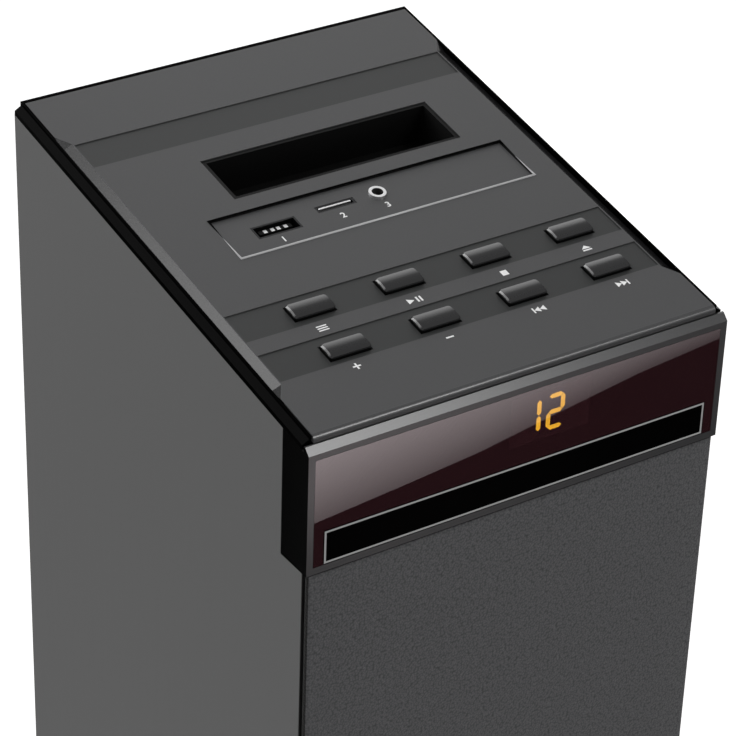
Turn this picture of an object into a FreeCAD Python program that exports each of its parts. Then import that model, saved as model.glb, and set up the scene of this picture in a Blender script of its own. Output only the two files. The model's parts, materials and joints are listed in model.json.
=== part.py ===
import FreeCAD, Part
import math
import os
import re
import Sketcher

# Tower speaker with a disc player in its head.
# Origin on the floor under the middle of the plinth, front towards -Y, up is +Z, millimetres.

SIZES = {
    # the disc sets the width and depth of everything round it
    "disc_radius": 60.5,
    "small_disc_radius": 40.5,
    "disc_recess": 1.4,
    # whole tower
    "tower_height": 985,
    "panel_thickness": 6,
    "side_room": 5.85,
    "rear_room": 22,
    "seam": 0.2,
    # plinth and feet
    "plinth_side": 30,
    "plinth_end": 29.5,
    "plinth_height": 16,
    "plinth_corner": 12,
    "plinth_bevel": 4,
    "plinth_web": 4,
    "foot_height": 6,
    "foot_radius": 11,
    "foot_taper": 1.5,
    "foot_inset": 18,
    # front: baffle, grille and fascia
    "fascia_stand": 2,
    "fascia_wrap": 13.5,
    "fascia_drop": 44.3,
    "fascia_plate": 2.6,
    "fascia_flank": 2.4,
    "fascia_bevel": 2,
    "fascia_gap": 0.4,
    "baffle_thickness": 9,
    "grille_recess": 4.2,
    "grille_board": 4,
    "grille_inset": 1,
    "grille_peg_radius": 3.5,
    "grille_peg_length": 6,
    "grille_peg_side": 12,
    "grille_peg_end": 30,
    "cloth_thickness": 0.6,
    # deck
    "deck_slope": 9.5,
    "deck_setback": 3,
    "deck_thickness": 2,
    "deck_lip": 1,
    "deck_round": 1.5,
    "deck_gap": 0.3,
    "trim_drop": 4,
    "trim_wall": 1.6,
    "trim_shoulder": 1,
    "trim_inset": 2.1,
    "trim_rim": 0.6,
    "trim_ledge": 6.8,
    "trim_skirt": 8,
    "trim_rear": 14,
    "bevel_width": 3.3,
    "bevel_drop": 1.5,
    "bevel_start": 22,
    "bevel_stop": 25.9,
    "bevel_run_out": 6,
    "band_depth": 0.3,
    "band_height": 12.4,
    "feature_shift": 4.7,
    # phone slot and sockets on the deck
    "slot_width": 78.8,
    "slot_length": 18,
    "slot_depth": 14,
    "slot_wall": 1.2,
    "slot_start": 102.4,
    "slot_offset": 1.2,
    "slot_flange": 2.5,
    "socket_width": 104.6,
    "socket_length": 19.2,
    "socket_start": 75.4,
    "socket_recess": 0.6,
    "socket_plate": 0.8,
    "socket_ledge": 2.5,
    "usb_width": 15.2,
    "usb_height": 5.7,
    "usb_wall": 0.5,
    "usb_tongue": 1.8,
    "usb_inset": 17.7,
    "usb_rise": 9.4,
    "card_width": 13.6,
    "card_gap": 1.6,
    "card_step": 22.1,
    "card_rise": 11.9,
    "aux_bore": 1.8,
    "aux_collar": 2.75,
    "aux_step": 14.7,
    "aux_rise": 11.7,
    # buttons and control board
    "button_width": 14.25,
    "button_length": 7.2,
    "button_rise": 1.9,
    "button_travel": 0.5,
    "button_pitch": 30.54,
    "button_row": 19.2,
    "button_start": 24.8,
    "button_gap": 0.25,
    "button_round": 0.6,
    "button_flange": 0.8,
    "button_stem": 1.8,
    "board_depth": 14,
    "board_thickness": 1.6,
    "board_inset": 6.5,
    "board_start": 14,
    "board_end": 2.4,
    "boss_radius": 2.5,
    "boss_inset": 3,
    "switch_height": 3.5,
    "switch_size": 6,
    "switch_stem": 1.7,
    # window and display
    "window_thickness": 1.8,
    "window_side": 2.2,
    "window_top": 6.3,
    "window_bottom": 42.1,
    "display_x": 10,
    "display_width": 28,
    "display_height": 16.5,
    "display_drop": 16.75,
    "display_depth": 6,
    "display_margin": 16,
    # disc tray
    "door_overlap": 4.45,
    "door_top": 30.9,
    "door_height": 10.8,
    "door_thickness": 2.5,
    "door_gap": 0.35,
    "tray_margin": 1.7,
    "tray_tail": 26,
    "tray_plate": 3,
    "tray_drop": 32.5,
    "tray_travel": 120,
    "tray_slot": 18,
    "rack_inset": 11.2,
    "rack_height": 5,
    "rack_width": 3,
    # loader
    "chassis_wall": 2,
    "chassis_depth": 78,
    "chassis_tail": 6,
    "guide_room": 2.3,
    "guide_gap": 0.3,
    "guide_lip": 1.5,
    "wall_drop": 28.7,
    "bridge_depth": 32,
    "bridge_plate": 1.7,
    "puck_radius": 14,
    "hub_radius": 15,
    "hub_drop": 0.4,
    "hub_cone": 1.9,
    "cone_radius": 7.2,
    "shaft_radius": 1.5,
    "running_gap": 0.05,
    "tooth_module": 1.25,
    "gear_teeth": 12,
    "tooth_slack": 0.12,
    "gear_setback": 9,
    "drive_drop": 9.4,
    "pulley_radius": 9,
    "motor_pulley_radius": 3.5,
    "pulley_flange": 0.7,
    "groove_depth": 0.9,
    "belt_size": 1.5,
    "belt_span": 33,
    "motor_radius": 8.5,
    "motor_length": 17.5,
    # traverse
    "traverse_half": 44,
    "traverse_plate": 3,
    "traverse_drop": 11.5,
    "traverse_nose": 22,
    "trunnion_radius": 2.5,
    "trunnion_length": 4.5,
    "lug_width": 4,
    "hinge_setback": 9,
    "spindle_room": 14,
    "spindle_radius": 12,
    "spindle_height": 12,
    "pickup_half": 24,
    "pickup_length": 18,
    "pickup_travel": 34,
    "lens_radius": 3,
    "rod_radius": 1.5,
    "rod_inset": 6,
    "sled_module": 1,
    "sled_thickness": 3,
    # drivers and port
    "driver_drop": 190,
    "driver_spacing": 250,
    "driver_hole": 43,
    "flange_width": 8,
    "basket_plate": 2.5,
    "basket_depth": 24,
    "basket_back": 31,
    "basket_wall": 2,
    "basket_slant": 1.8,
    "spider_lift": 3,
    "magnet_radius": 30,
    "magnet_height": 18,
    "coil_radius": 10.7,
    "coil_wall": 0.6,
    "cone_neck": 16,
    "cone_paper": 1,
    "roll_radius": 3.25,
    "roll_wall": 0.6,
    "roll_depth": 3.4,
    "screw_radius": 1.5,
    "screw_head": 3.2,
    "screw_crown": 2,
    "screw_length": 9,
    "port_height": 250,
    "port_bore": 20,
    "port_wall": 3,
    "port_length": 80,
    "port_flange": 7,
    "port_lip": 3,
    "port_round": 2,
    # rear plate and electronics
    "rear_plate_height": 130,
    "rear_plate_width": 104,
    "rear_plate_tall": 84,
    "rear_plate_thickness": 2.5,
    "rear_plate_edge": 4.5,
    "fitting_inset": 28,
    "rocker_width": 20,
    "rocker_tall": 13,
    "rocker_tilt": 8,
    "rocker_wall": 2,
    "rocker_well": 13,
    "inlet_width": 20,
    "inlet_tall": 12,
    "inlet_flange": 2.5,
    "inlet_depth": 14,
    "amplifier_setback": 20,
    "amplifier_tall": 60,
    "sink_width": 28,
    "sink_tall": 44,
    "sink_base": 6,
    "sink_depth": 24,
    "fin_pitch": 6,
    "fin_thickness": 2,
    "capacitor_radius": 6,
    "capacitor_length": 20,
    "capacitor_pitch": 16,
    "core_width": 54,
    "core_depth": 30,
    "core_height": 46,
    "winding_overlap": 9,
    "winding_bulge": 8,
    "transformer_y": 10,
    "loom_radius": 2.5,
    "loom_bend": 14,
    "loom_rise": 40,
}

# Places worked out from the sizes.
PLACES = {
    "tray_half": "disc_radius + tray_margin",
    "tray_length": "2 * disc_radius + tray_tail",
    "door_width": "2 * (tray_half + door_overlap)",
    "cabinet_width": "door_width + 2 * side_room",
    "cabinet_depth": "tray_length + rear_room",
    "plinth_width": "cabinet_width + 2 * plinth_side",
    "plinth_depth": "cabinet_depth + 2 * plinth_end",
    "face": "-(cabinet_depth + fascia_stand) / 2",
    "cabinet_front": "face + fascia_stand",
    "cabinet_rear": "cabinet_front + cabinet_depth",
    "rear_inside": "cabinet_rear - panel_thickness",
    "half_width": "cabinet_width / 2",
    "inner_half": "half_width - panel_thickness",
    "cabinet_foot": "foot_height + plinth_height",
    "floor_top": "cabinet_foot + panel_thickness",
    "deck_front": "face + deck_setback",
    "deck_low": "tower_height - (cabinet_rear - deck_front) * tan(deck_slope)",
    "deck_run": "(cabinet_rear - deck_front) / cos(deck_slope)",
    "deck_half": "half_width - trim_inset - trim_rim - deck_gap",
    "bevel_end": "deck_run - bevel_stop",
    "fascia_bottom": "deck_low - fascia_drop",
    "fascia_top": "deck_low - deck_thickness - fascia_gap",
    "notch": "face + fascia_wrap",
    "baffle_front": "cabinet_front + grille_recess",
    "baffle_rear": "baffle_front + baffle_thickness",
    "grille_top": "fascia_bottom - fascia_gap",
    "grille_bottom": "cabinet_foot + fascia_stand",
    "grille_half": "half_width - grille_inset",
    "shelf_top": "deck_low - chassis_depth",
    "upper_driver_height": "shelf_top - driver_drop",
    "lower_driver_height": "upper_driver_height - driver_spacing",
    "driver_flange": "driver_hole + flange_width",
    "screw_circle": "driver_hole + flange_width / 2",
    "window_half": "half_width - window_side",
    "tray_top": "deck_low - tray_drop",
    "tray_floor": "tray_top - tray_plate",
    "tray_front": "face + door_thickness",
    "tray_rear": "tray_front + tray_length",
    "disc_y": "tray_front + 3 + disc_radius",
    "rack_floor": "tray_floor - rack_height",
    "chassis_half": "tray_half + guide_room",
    "chassis_front": "baffle_rear + 0.5",
    "chassis_rear": "tray_rear + chassis_tail",
    "chassis_floor": "shelf_top + chassis_wall",
    "wall_top": "deck_low - wall_drop",
    "gear_radius": "tooth_module * gear_teeth / 2",
    "gear_x": "rack_line + gear_radius + running_gap",
    "rack_line": "rack_inset - tray_half",
    "gear_y": "chassis_front + gear_setback",
    "motor_x": "gear_x + belt_span",
    "drive_plate": "tray_floor - drive_drop",
    "hub_top": "tray_top - hub_drop",
    "traverse_top": "tray_top - traverse_drop",
    "traverse_floor": "traverse_top - traverse_plate",
    "traverse_front": "disc_y - traverse_nose",
    "window_near": "disc_y + spindle_room",
    "window_far": "window_near + pickup_length + pickup_travel + 2.5",
    "hinge_y": "window_far + hinge_setback",
    "hinge_z": "traverse_top - traverse_plate / 2",
    "traverse_rear": "hinge_y + trunnion_radius + 1",
    "pickup_y": "window_near + 1 + pickup_length / 2",
    "rod_x": "pickup_half - rod_inset",
    "rod_z": "traverse_top + rod_radius",
    "sled_radius": "sled_module * gear_teeth / 2",
    "sled_line": "pickup_half + 3 * sled_module",
    "sled_x": "sled_line + sled_radius + running_gap",
    "sled_y": "pickup_y + pickup_travel / 2 + 2",
    "sled_floor": "traverse_top + 0.4",
    "sled_top": "sled_floor + sled_thickness",
    "slot_x": "feature_shift + slot_offset",
    "slot_middle": "slot_start + slot_length / 2",
    "usb_x": "feature_shift - socket_width / 2 + usb_inset",
    "usb_u": "socket_start + usb_rise",
    "card_x": "usb_x + card_step",
    "card_u": "socket_start + card_rise",
    "aux_x": "card_x + aux_step",
    "aux_u": "socket_start + aux_rise",
    "plate_floor": "-socket_recess - socket_plate",
    "first_button": "feature_shift - 1.5 * button_pitch - button_width / 2",
    "switch_top": "switch_height - board_depth + 0.8",
    "board_stop": "socket_start + socket_length + board_end",
    "rocker_x": "rear_plate_width / 2 - fitting_inset",
    "rocker_pivot": "cabinet_rear - 3",
    "inlet_x": "fitting_inset - rear_plate_width / 2",
    "amplifier_y": "cabinet_rear - amplifier_setback",
    "loom_x": "inner_half - 14",
    "loom_y": "rear_inside - loom_radius - 3",
}

doc = FreeCAD.newDocument("tower_speaker")
dims = doc.addObject("Spreadsheet::Sheet", "dims")
CELLS = {**SIZES, **{place: "=" + expression for place, expression in PLACES.items()}}
for row, name in enumerate(CELLS, start=1):
    dims.set("A%d" % row, name)
    dims.setAlias("B%d" % row, name)
for row, content in enumerate(CELLS.values(), start=1):
    dims.set("B%d" % row, str(content))
doc.recompute()


def bound(expression):
    """The expression with every size and place read from the sheet."""
    def read(word):
        name = word.group()
        return "dims." + name if name in CELLS else name
    return re.sub(r"[a-z][a-z_]*", read, str(expression))


def value(expression):
    """The expression worked out as a plain number."""
    return float(dims.evalExpression(bound(expression)))


def bind(item, **sizes):
    for size, expression in sizes.items():
        item.setExpression(size, bound(expression))


def seat(item, x="0", y="0", z="0"):
    for axis, expression in zip("xyz", (x, y, z)):
        item.setExpression("Placement.Base." + axis, bound(expression))


def below_deck(y, drop):
    """Height of a plane parallel to the deck, `drop` under it, at the depth y."""
    return "deck_low + (%s - deck_front) * tan(deck_slope) - (%s) / cos(deck_slope)" % (y, drop)


# Plain solids, each given by the span it fills along X, Y and Z.
def box(name, x, y, z):
    solid = doc.addObject("Part::Box", name)
    for size, (low, high) in zip(("Length", "Width", "Height"), (x, y, z)):
        bind(solid, **{size: "(%s) - (%s)" % (high, low)})
    seat(solid, x[0], y[0], z[0])
    return solid


AXIS_TURNS = {
    "x": FreeCAD.Rotation(FreeCAD.Vector(0, 1, 0), 90),
    "y": FreeCAD.Rotation(FreeCAD.Vector(1, 0, 0), -90),
    "z": FreeCAD.Rotation(),
}


def rod(name, radius, axis, span, across):
    """A cylinder along one axis, filling `span` there, centred at `across` on the other two axes."""
    solid = doc.addObject("Part::Cylinder", name)
    solid.Placement.Rotation = AXIS_TURNS[axis]
    bind(solid, Radius=radius, Height="(%s) - (%s)" % (span[1], span[0]))
    centre = list(across)
    centre.insert("xyz".index(axis), span[0])
    seat(solid, *centre)
    return solid


def joined(name, *solids):
    whole = doc.addObject("Part::MultiFuse", name)
    whole.Shapes = list(solids)
    whole.Refine = True
    return whole


def cut(name, base, *tools):
    tool = tools[0] if len(tools) == 1 else joined(name + "_tools", *tools)
    rest = doc.addObject("Part::Cut", name)
    rest.Base = base
    rest.Tool = tool
    return rest


def grouped(name, *solids):
    group = doc.addObject("Part::Compound", name)
    group.Links = list(solids)
    return group


# Bodies drawn as sketches: pads add material over a span, pockets take it away.
def body(name):
    return doc.addObject("PartDesign::Body", name)


def on_deck(name):
    """A body drawn in the deck's own frame: x across, y up the slope, z out of the deck."""
    piece = body(name)
    piece.Placement.Rotation = FreeCAD.Rotation(FreeCAD.Vector(1, 0, 0), 1)
    piece.setExpression("Placement.Rotation.Angle", bound("deck_slope"))
    seat(piece, "0", "deck_front", "deck_low")
    return piece


def rectangle(x, y):
    return [(x[0], y[0]), (x[1], y[0]), (x[1], y[1]), (x[0], y[1])]


def around(centre, size):
    """The span of the given size about a centre."""
    return ("(%s) - (%s) / 2" % (centre, size), "(%s) + (%s) / 2" % (centre, size))


def hold(sketch, kind, element, point, expression):
    index = sketch.addConstraint(Sketcher.Constraint(kind, -1, 1, element, point, value(expression)))
    sketch.setExpression("Constraints[%d]" % index, bound(expression))


def draw_outline(sketch, corners):
    first = sketch.GeometryCount
    places = [FreeCAD.Vector(value(across), value(along), 0) for across, along in corners]
    count = len(corners)
    for index in range(count):
        sketch.addGeometry(Part.LineSegment(places[index], places[(index + 1) % count]), False)
    for index in range(count):
        following = first + (index + 1) % count
        sketch.addConstraint(Sketcher.Constraint("Coincident", first + index, 2, following, 1))
    for index, (across, along) in enumerate(corners):
        hold(sketch, "DistanceX", first + index, 1, across)
        hold(sketch, "DistanceY", first + index, 1, along)


def draw_circle(sketch, across, along, radius):
    index = sketch.GeometryCount
    centre = FreeCAD.Vector(value(across), value(along), 0)
    sketch.addGeometry(Part.Circle(centre, FreeCAD.Vector(0, 0, 1), value(radius)), False)
    hold(sketch, "DistanceX", index, 3, across)
    hold(sketch, "DistanceY", index, 3, along)
    size = sketch.addConstraint(Sketcher.Constraint("Radius", index, value(radius)))
    sketch.setExpression("Constraints[%d]" % size, bound(radius))


def drawing(piece, plane, offset, outlines):
    """A sketch on one of the piece's planes; an outline is a list of corners or a circle's three sizes."""
    sketch = piece.newObject("Sketcher::SketchObject", piece.Name + "_sketch")
    support = [item for item in piece.Origin.OriginFeatures if item.Role == plane + "_Plane"]
    sketch.AttachmentSupport = [(support[0], "")]
    sketch.MapMode = "FlatFace"
    sketch.setExpression("AttachmentOffset.Base.z", bound(offset))
    for outline in outlines:
        if isinstance(outline, list):
            draw_outline(sketch, outline)
        else:
            draw_circle(sketch, *outline)
    return sketch


def pad(piece, plane, span, *outlines):
    low, high = span
    start = "-(%s)" % high if plane == "XZ" else low
    feature = piece.newObject("PartDesign::Pad", piece.Name + "_pad")
    feature.Profile = drawing(piece, plane, start, outlines)
    bind(feature, Length="(%s) - (%s)" % (high, low))
    return feature


def pocket(piece, plane, span, *outlines):
    low, high = span
    start = "-(%s)" % low if plane == "XZ" else high
    feature = piece.newObject("PartDesign::Pocket", piece.Name + "_pocket")
    feature.Profile = drawing(piece, plane, start, outlines)
    bind(feature, Length="(%s) - (%s)" % (high, low))
    return feature


def turned(piece, outline):
    """A solid of revolution about the piece's own Z axis, from a profile of (radius, height)."""
    sketch = drawing(piece, "XZ", "0", [outline])
    feature = piece.newObject("PartDesign::Revolution", piece.Name + "_turn")
    feature.Profile = sketch
    feature.ReferenceAxis = (sketch, ["V_Axis"])
    feature.Angle = 360
    return feature


def eased(piece, kind, size, chosen):
    """A fillet or chamfer on the edges of the piece that `chosen` picks by their bounding box."""
    doc.recompute()
    base = piece.Tip
    names = ["Edge%d" % number for number, edge in enumerate(base.Shape.Edges, start=1)
             if chosen(edge.BoundBox)]
    feature = piece.newObject("PartDesign::" + kind, piece.Name + "_" + kind.lower())
    feature.Base = (base, names)
    bind(feature, **{"Radius" if kind == "Fillet" else "Size": size})
    return feature


def near(first, second):
    return abs(first - second) < 0.01


def teeth(piece, sketch_feature, count_expression, length=None):
    """Repeat a tooth: round the Z axis, or along Y over `length`."""
    kind = "PartDesign::LinearPattern" if length else "PartDesign::PolarPattern"
    pattern = piece.newObject(kind, piece.Name + "_teeth")
    pattern.Originals = [sketch_feature]
    if length:
        pattern.Direction = (sketch_feature.Profile[0], ["V_Axis"])
        bind(pattern, Length=length)
    else:
        pattern.Axis = (sketch_feature.Profile[0], ["N_Axis"])
        pattern.Angle = 360
    pattern.setExpression("Occurrences", bound(count_expression))
    piece.Tip = pattern
    return pattern


# Cabinet: two sides, back, baffle, bottom and the shelf that carries the loader
def make_cabinet():
    for side, start in (("left", "-half_width"), ("right", "inner_half")):
        panel = body(side + "_side_panel")
        pad(panel, "YZ", (start, start + " + panel_thickness"), [
            ("cabinet_front", "cabinet_foot"),
            ("cabinet_rear", "cabinet_foot"),
            ("cabinet_rear", below_deck("cabinet_rear", "trim_drop")),
            ("notch", below_deck("notch", "trim_drop")),
            ("notch", "fascia_bottom"),
            ("cabinet_front", "fascia_bottom"),
        ])
    across = ("-inner_half", "inner_half")
    back = body("back_panel")
    pad(back, "YZ", across, [
        ("rear_inside", "floor_top"),
        ("cabinet_rear", "floor_top"),
        ("cabinet_rear", below_deck("cabinet_rear", "trim_drop")),
        ("rear_inside", below_deck("rear_inside", "trim_drop")),
    ])
    through_back = ("rear_inside - 1", "cabinet_rear + 1")
    pocket(back, "XZ", through_back, ("0", "port_height", "port_bore + port_wall + seam"))
    pocket(back, "XZ", through_back, rectangle(
        around("0", "rear_plate_width - 18"), around("rear_plate_height", "rear_plate_tall - 20")))
    pocket(back, "XZ", through_back, *[(x, z, "screw_radius + 0.02") for x, z in rear_plate_corners()])

    baffle = body("front_baffle")
    pad(baffle, "XZ", ("baffle_front", "baffle_rear"), rectangle(across, ("floor_top", "grille_top")))
    for height in ("upper_driver_height", "lower_driver_height"):
        pocket(baffle, "XZ", ("baffle_front - 1", "baffle_rear + 1"), ("0", height, "driver_hole"))
        pocket(baffle, "XZ", ("baffle_rear - 7", "baffle_rear + 1"),
               *[(x, z, "screw_radius + 0.02") for x, z in driver_corners(height)])
    pocket(baffle, "XZ", ("baffle_front - 1", "baffle_front + grille_peg_length"),
           *[(x, z, "grille_peg_radius + running_gap") for x, z in grille_pegs()])

    bottom = body("bottom_panel")
    pad(bottom, "XY", ("cabinet_foot", "floor_top"), rectangle(across, ("cabinet_front", "cabinet_rear")))
    pocket(bottom, "XY", ("cabinet_foot - 1", "floor_top - 0.8"),
           *[(x, y, "screw_radius + 0.02") for x, y in plinth_corners()])

    shelf = body("divider_shelf")
    pad(shelf, "XY", ("shelf_top - panel_thickness", "shelf_top"),
        rectangle(across, ("baffle_rear", "rear_inside")))
    pocket(shelf, "XY", ("shelf_top - panel_thickness - 1", "shelf_top + 1"),
           ("loom_x", "loom_y", "loom_radius + 0.3"))


def rear_plate_corners():
    return [("%s * (rear_plate_width / 2 - rear_plate_edge)" % x,
             "rear_plate_height + %s * (rear_plate_tall / 2 - rear_plate_edge)" % z)
            for x in ("1", "-1") for z in ("1", "-1")]


def driver_corners(height):
    return [("%s * screw_circle * cos(45)" % x, "%s + %s * screw_circle * sin(45)" % (height, z))
            for x in ("1", "-1") for z in ("1", "-1")]


def plinth_corners():
    return [("%s * (inner_half - 14)" % x, "%s * (cabinet_depth / 2 - 22)" % y)
            for x in ("1", "-1") for y in ("1", "-1")]


def grille_pegs():
    heights = ("grille_bottom + grille_peg_end", "(grille_bottom + grille_top) / 2",
               "grille_top - grille_peg_end")
    return [("%s * (inner_half - grille_peg_side)" % x, z) for x in ("1", "-1") for z in heights]


# Plinth on four rubber feet
def make_base():
    plinth = body("base_plinth")
    pad(plinth, "XY", ("foot_height", "cabinet_foot"),
        rectangle(around("0", "plinth_width"), around("0", "plinth_depth")))
    eased(plinth, "Fillet", "plinth_corner", lambda edge: edge.ZLength > 1)
    top = value("cabinet_foot")
    eased(plinth, "Chamfer", "plinth_bevel", lambda edge: near(edge.ZMin, top) and near(edge.ZMax, top))
    pocket(plinth, "XY", ("foot_height - 1", "cabinet_foot - plinth_web"),
           *[(x, y, "screw_head + 0.8") for x, y in plinth_corners()])
    pocket(plinth, "XY", ("foot_height - 1", "cabinet_foot + 1"),
           *[(x, y, "screw_radius + 0.1") for x, y in plinth_corners()])
    feet = []
    for x in (1, -1):
        for y in (1, -1):
            foot = doc.addObject("Part::Cone", "foot")
            bind(foot, Radius1="foot_radius - foot_taper", Radius2="foot_radius", Height="foot_height")
            seat(foot, "%d * (plinth_width / 2 - foot_inset)" % x,
                 "%d * (plinth_depth / 2 - foot_inset)" % y)
            feet.append(foot)
    grouped("rubber_feet", *feet)


# Screws, all of one size
def screw(axis, head, way, across):
    """One pan-head screw: `head` is the height of the face under its head, `way` the head's side."""
    head_span = (head, head + " + screw_crown") if way > 0 else (head + " - screw_crown", head)
    shank_span = (head + " - screw_length", head) if way > 0 else (head, head + " + screw_length")
    return joined("screw", rod("screw_top", "screw_head", axis, head_span, across),
                  rod("screw_shank", "screw_radius", axis, shank_span, across))


def make_screws():
    screws = [screw("y", "cabinet_rear + rear_plate_thickness", 1, place) for place in rear_plate_corners()]
    for height in ("upper_driver_height", "lower_driver_height"):
        screws += [screw("y", "baffle_rear + basket_plate", 1, place) for place in driver_corners(height)]
    screws += [screw("z", "cabinet_foot - plinth_web", -1, place) for place in plinth_corners()]
    grouped("wood_screws", *screws)


# Grille: a stepped board with driver openings and pegs, covered in cloth
def make_grille():
    tall = ("grille_bottom", "grille_top")
    frame = body("grille_frame")
    pad(frame, "XZ", ("face + cloth_thickness", "cabinet_front - 0.1"), rectangle(
        ("cloth_thickness - grille_half", "grille_half - cloth_thickness"),
        ("grille_bottom + cloth_thickness", "grille_top - cloth_thickness")))
    pad(frame, "XZ", ("face + cloth_thickness", "cabinet_front + grille_board"), rectangle(
        ("0.5 - inner_half", "inner_half - 0.5"), ("floor_top + 0.5", "grille_top - 1")))
    pad(frame, "XZ", ("cabinet_front + 1", "baffle_front + grille_peg_length - 0.5"),
        *[(x, z, "grille_peg_radius") for x, z in grille_pegs()])
    pocket(frame, "XZ", ("face - 1", "baffle_front + 1"),
           *[("0", height, "driver_hole") for height in ("upper_driver_height", "lower_driver_height")])

    skin = body("grille_cloth")
    pad(skin, "XZ", ("face", "cabinet_front - 0.1"), rectangle(("-grille_half", "grille_half"), tall))
    pocket(skin, "XZ", ("face + cloth_thickness", "cabinet_front + 1"), rectangle(
        ("cloth_thickness - grille_half", "grille_half - cloth_thickness"),
        ("grille_bottom + cloth_thickness", "grille_top - cloth_thickness")))


# Two drivers of one kind, fixed behind the baffle, and the port in the back
BASKET = [
    ("driver_hole - 1", "0"),
    ("driver_flange", "0"),
    ("driver_flange", "-basket_plate"),
    ("driver_hole + 0.5", "-basket_plate"),
    ("basket_back", "basket_wall - basket_depth"),
    ("basket_back", "-basket_depth"),
    ("coil_radius + 3.3", "-basket_depth"),
    ("coil_radius + 3.3", "basket_wall - basket_depth"),
    ("basket_back - basket_slant", "basket_wall - basket_depth"),
    ("driver_hole - 1", "-basket_plate - 1"),
]
# The spider's rim stops just short of the basket's slanted wall, at the height of its rear face
SPIDER_EDGE = ("basket_back - basket_slant - seam / 2 + (driver_hole - 1 - basket_back + basket_slant)"
               " * (spider_lift - roll_wall - basket_wall) / (basket_depth - basket_wall - basket_plate - 1)")
GAP_FLOOR = "-basket_depth - 0.75 * magnet_height"
MAGNET = [
    ("0", "-basket_depth"),
    ("coil_radius - 1.5", "-basket_depth"),
    ("coil_radius - 1.5", GAP_FLOOR),
    ("coil_radius + 0.9", GAP_FLOOR),
    ("coil_radius + 0.9", "-basket_depth"),
    ("magnet_radius", "-basket_depth"),
    ("magnet_radius", "-basket_depth - magnet_height"),
    ("0", "-basket_depth - magnet_height"),
]
CONE_RIM = "driver_hole - 1.3 - 2 * roll_radius"
COIL_END = "-basket_depth - magnet_height / 2"
DIAPHRAGM = [
    ("0", "-0.75 * cone_neck"),
    ("0.65 * coil_radius", "-0.75 * cone_neck - 1.2 * cone_paper"),
    ("coil_radius", "-cone_neck"),
    (CONE_RIM, "-roll_depth - 0.2"),
    (CONE_RIM, "-roll_depth - 0.2 - cone_paper"),
    ("coil_radius", "-cone_neck - 1.2 * cone_paper"),
    ("coil_radius", COIL_END),
    ("coil_radius - coil_wall", COIL_END),
    ("coil_radius - coil_wall", "-cone_neck - 0.6 * cone_paper"),
    ("0.63 * coil_radius", "-0.75 * cone_neck - 2 * cone_paper"),
    ("0", "-0.75 * cone_neck - 0.8 * cone_paper"),
]


def facing_front(piece, height):
    """Turn a piece made round its own Z so that Z points to the front, and set it behind the baffle."""
    piece.Placement.Rotation = FreeCAD.Rotation(FreeCAD.Vector(1, 0, 0), 90)
    seat(piece, "0", "baffle_rear", height)


def half_roll(height):
    """The surround: the front half of a hollow ring between the cone's rim and the basket."""
    rings = []
    for name, radius in (("roll_outside", "roll_radius"), ("roll_inside", "roll_radius - roll_wall")):
        ring = doc.addObject("Part::Torus", name)
        bind(ring, Radius1="driver_hole - 1.1 - roll_radius", Radius2=radius)
        ring.Placement.Rotation = FreeCAD.Rotation(FreeCAD.Vector(1, 0, 0), 90)
        seat(ring, "0", "baffle_rear + roll_depth", height)
        rings.append(ring)
    behind = rod("roll_behind", "driver_flange", "y",
                 ("baffle_rear + roll_depth", "baffle_rear + roll_depth + 2 * roll_radius"), ("0", height))
    return cut("surround", rings[0], rings[1], behind)


def make_drivers():
    magnets = []
    for place in ("upper", "lower"):
        height = place + "_driver_height"
        basket = body(place + "_basket")
        turned(basket, BASKET)
        pocket(basket, "XY", ("-basket_plate - 0.5", "1"),
               *[(x, y, "screw_radius + 0.2") for x, y in driver_corners("0")])
        facing_front(basket, height)
        magnet = body(place + "_magnet")
        turned(magnet, MAGNET)
        facing_front(magnet, height)
        magnets.append(magnet)
        cone = body(place + "_cone")
        turned(cone, DIAPHRAGM)
        facing_front(cone, height)
        spider_span = ("baffle_rear + basket_depth - spider_lift",
                       "baffle_rear + basket_depth - spider_lift + roll_wall")
        spider = cut("spider", rod("spider_disc", SPIDER_EDGE, "y", spider_span, ("0", height)),
                     rod("spider_hole", "coil_radius + 0.2", "y",
                         ("baffle_rear", "baffle_rear + basket_depth"), ("0", height)))
        grouped(place + "_suspension", half_roll(height), spider)
    grouped("driver_magnets", *magnets)

    tube = body("port_tube")
    outside = "port_bore + port_wall"
    turned(tube, [("port_bore", "port_lip"), (outside + " + port_flange", "port_lip"),
                  (outside + " + port_flange", "0"), (outside, "0"), (outside, "-port_length"),
                  ("port_bore", "-port_length")])
    top = value("port_lip")
    mouth = 2 * value("port_bore") + 1
    eased(tube, "Fillet", "port_round", lambda edge: near(edge.ZMin, top) and edge.XLength < mouth)
    tube.Placement.Rotation = FreeCAD.Rotation(FreeCAD.Vector(1, 0, 0), -90)
    seat(tube, "0", "cabinet_rear", "port_height")


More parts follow.
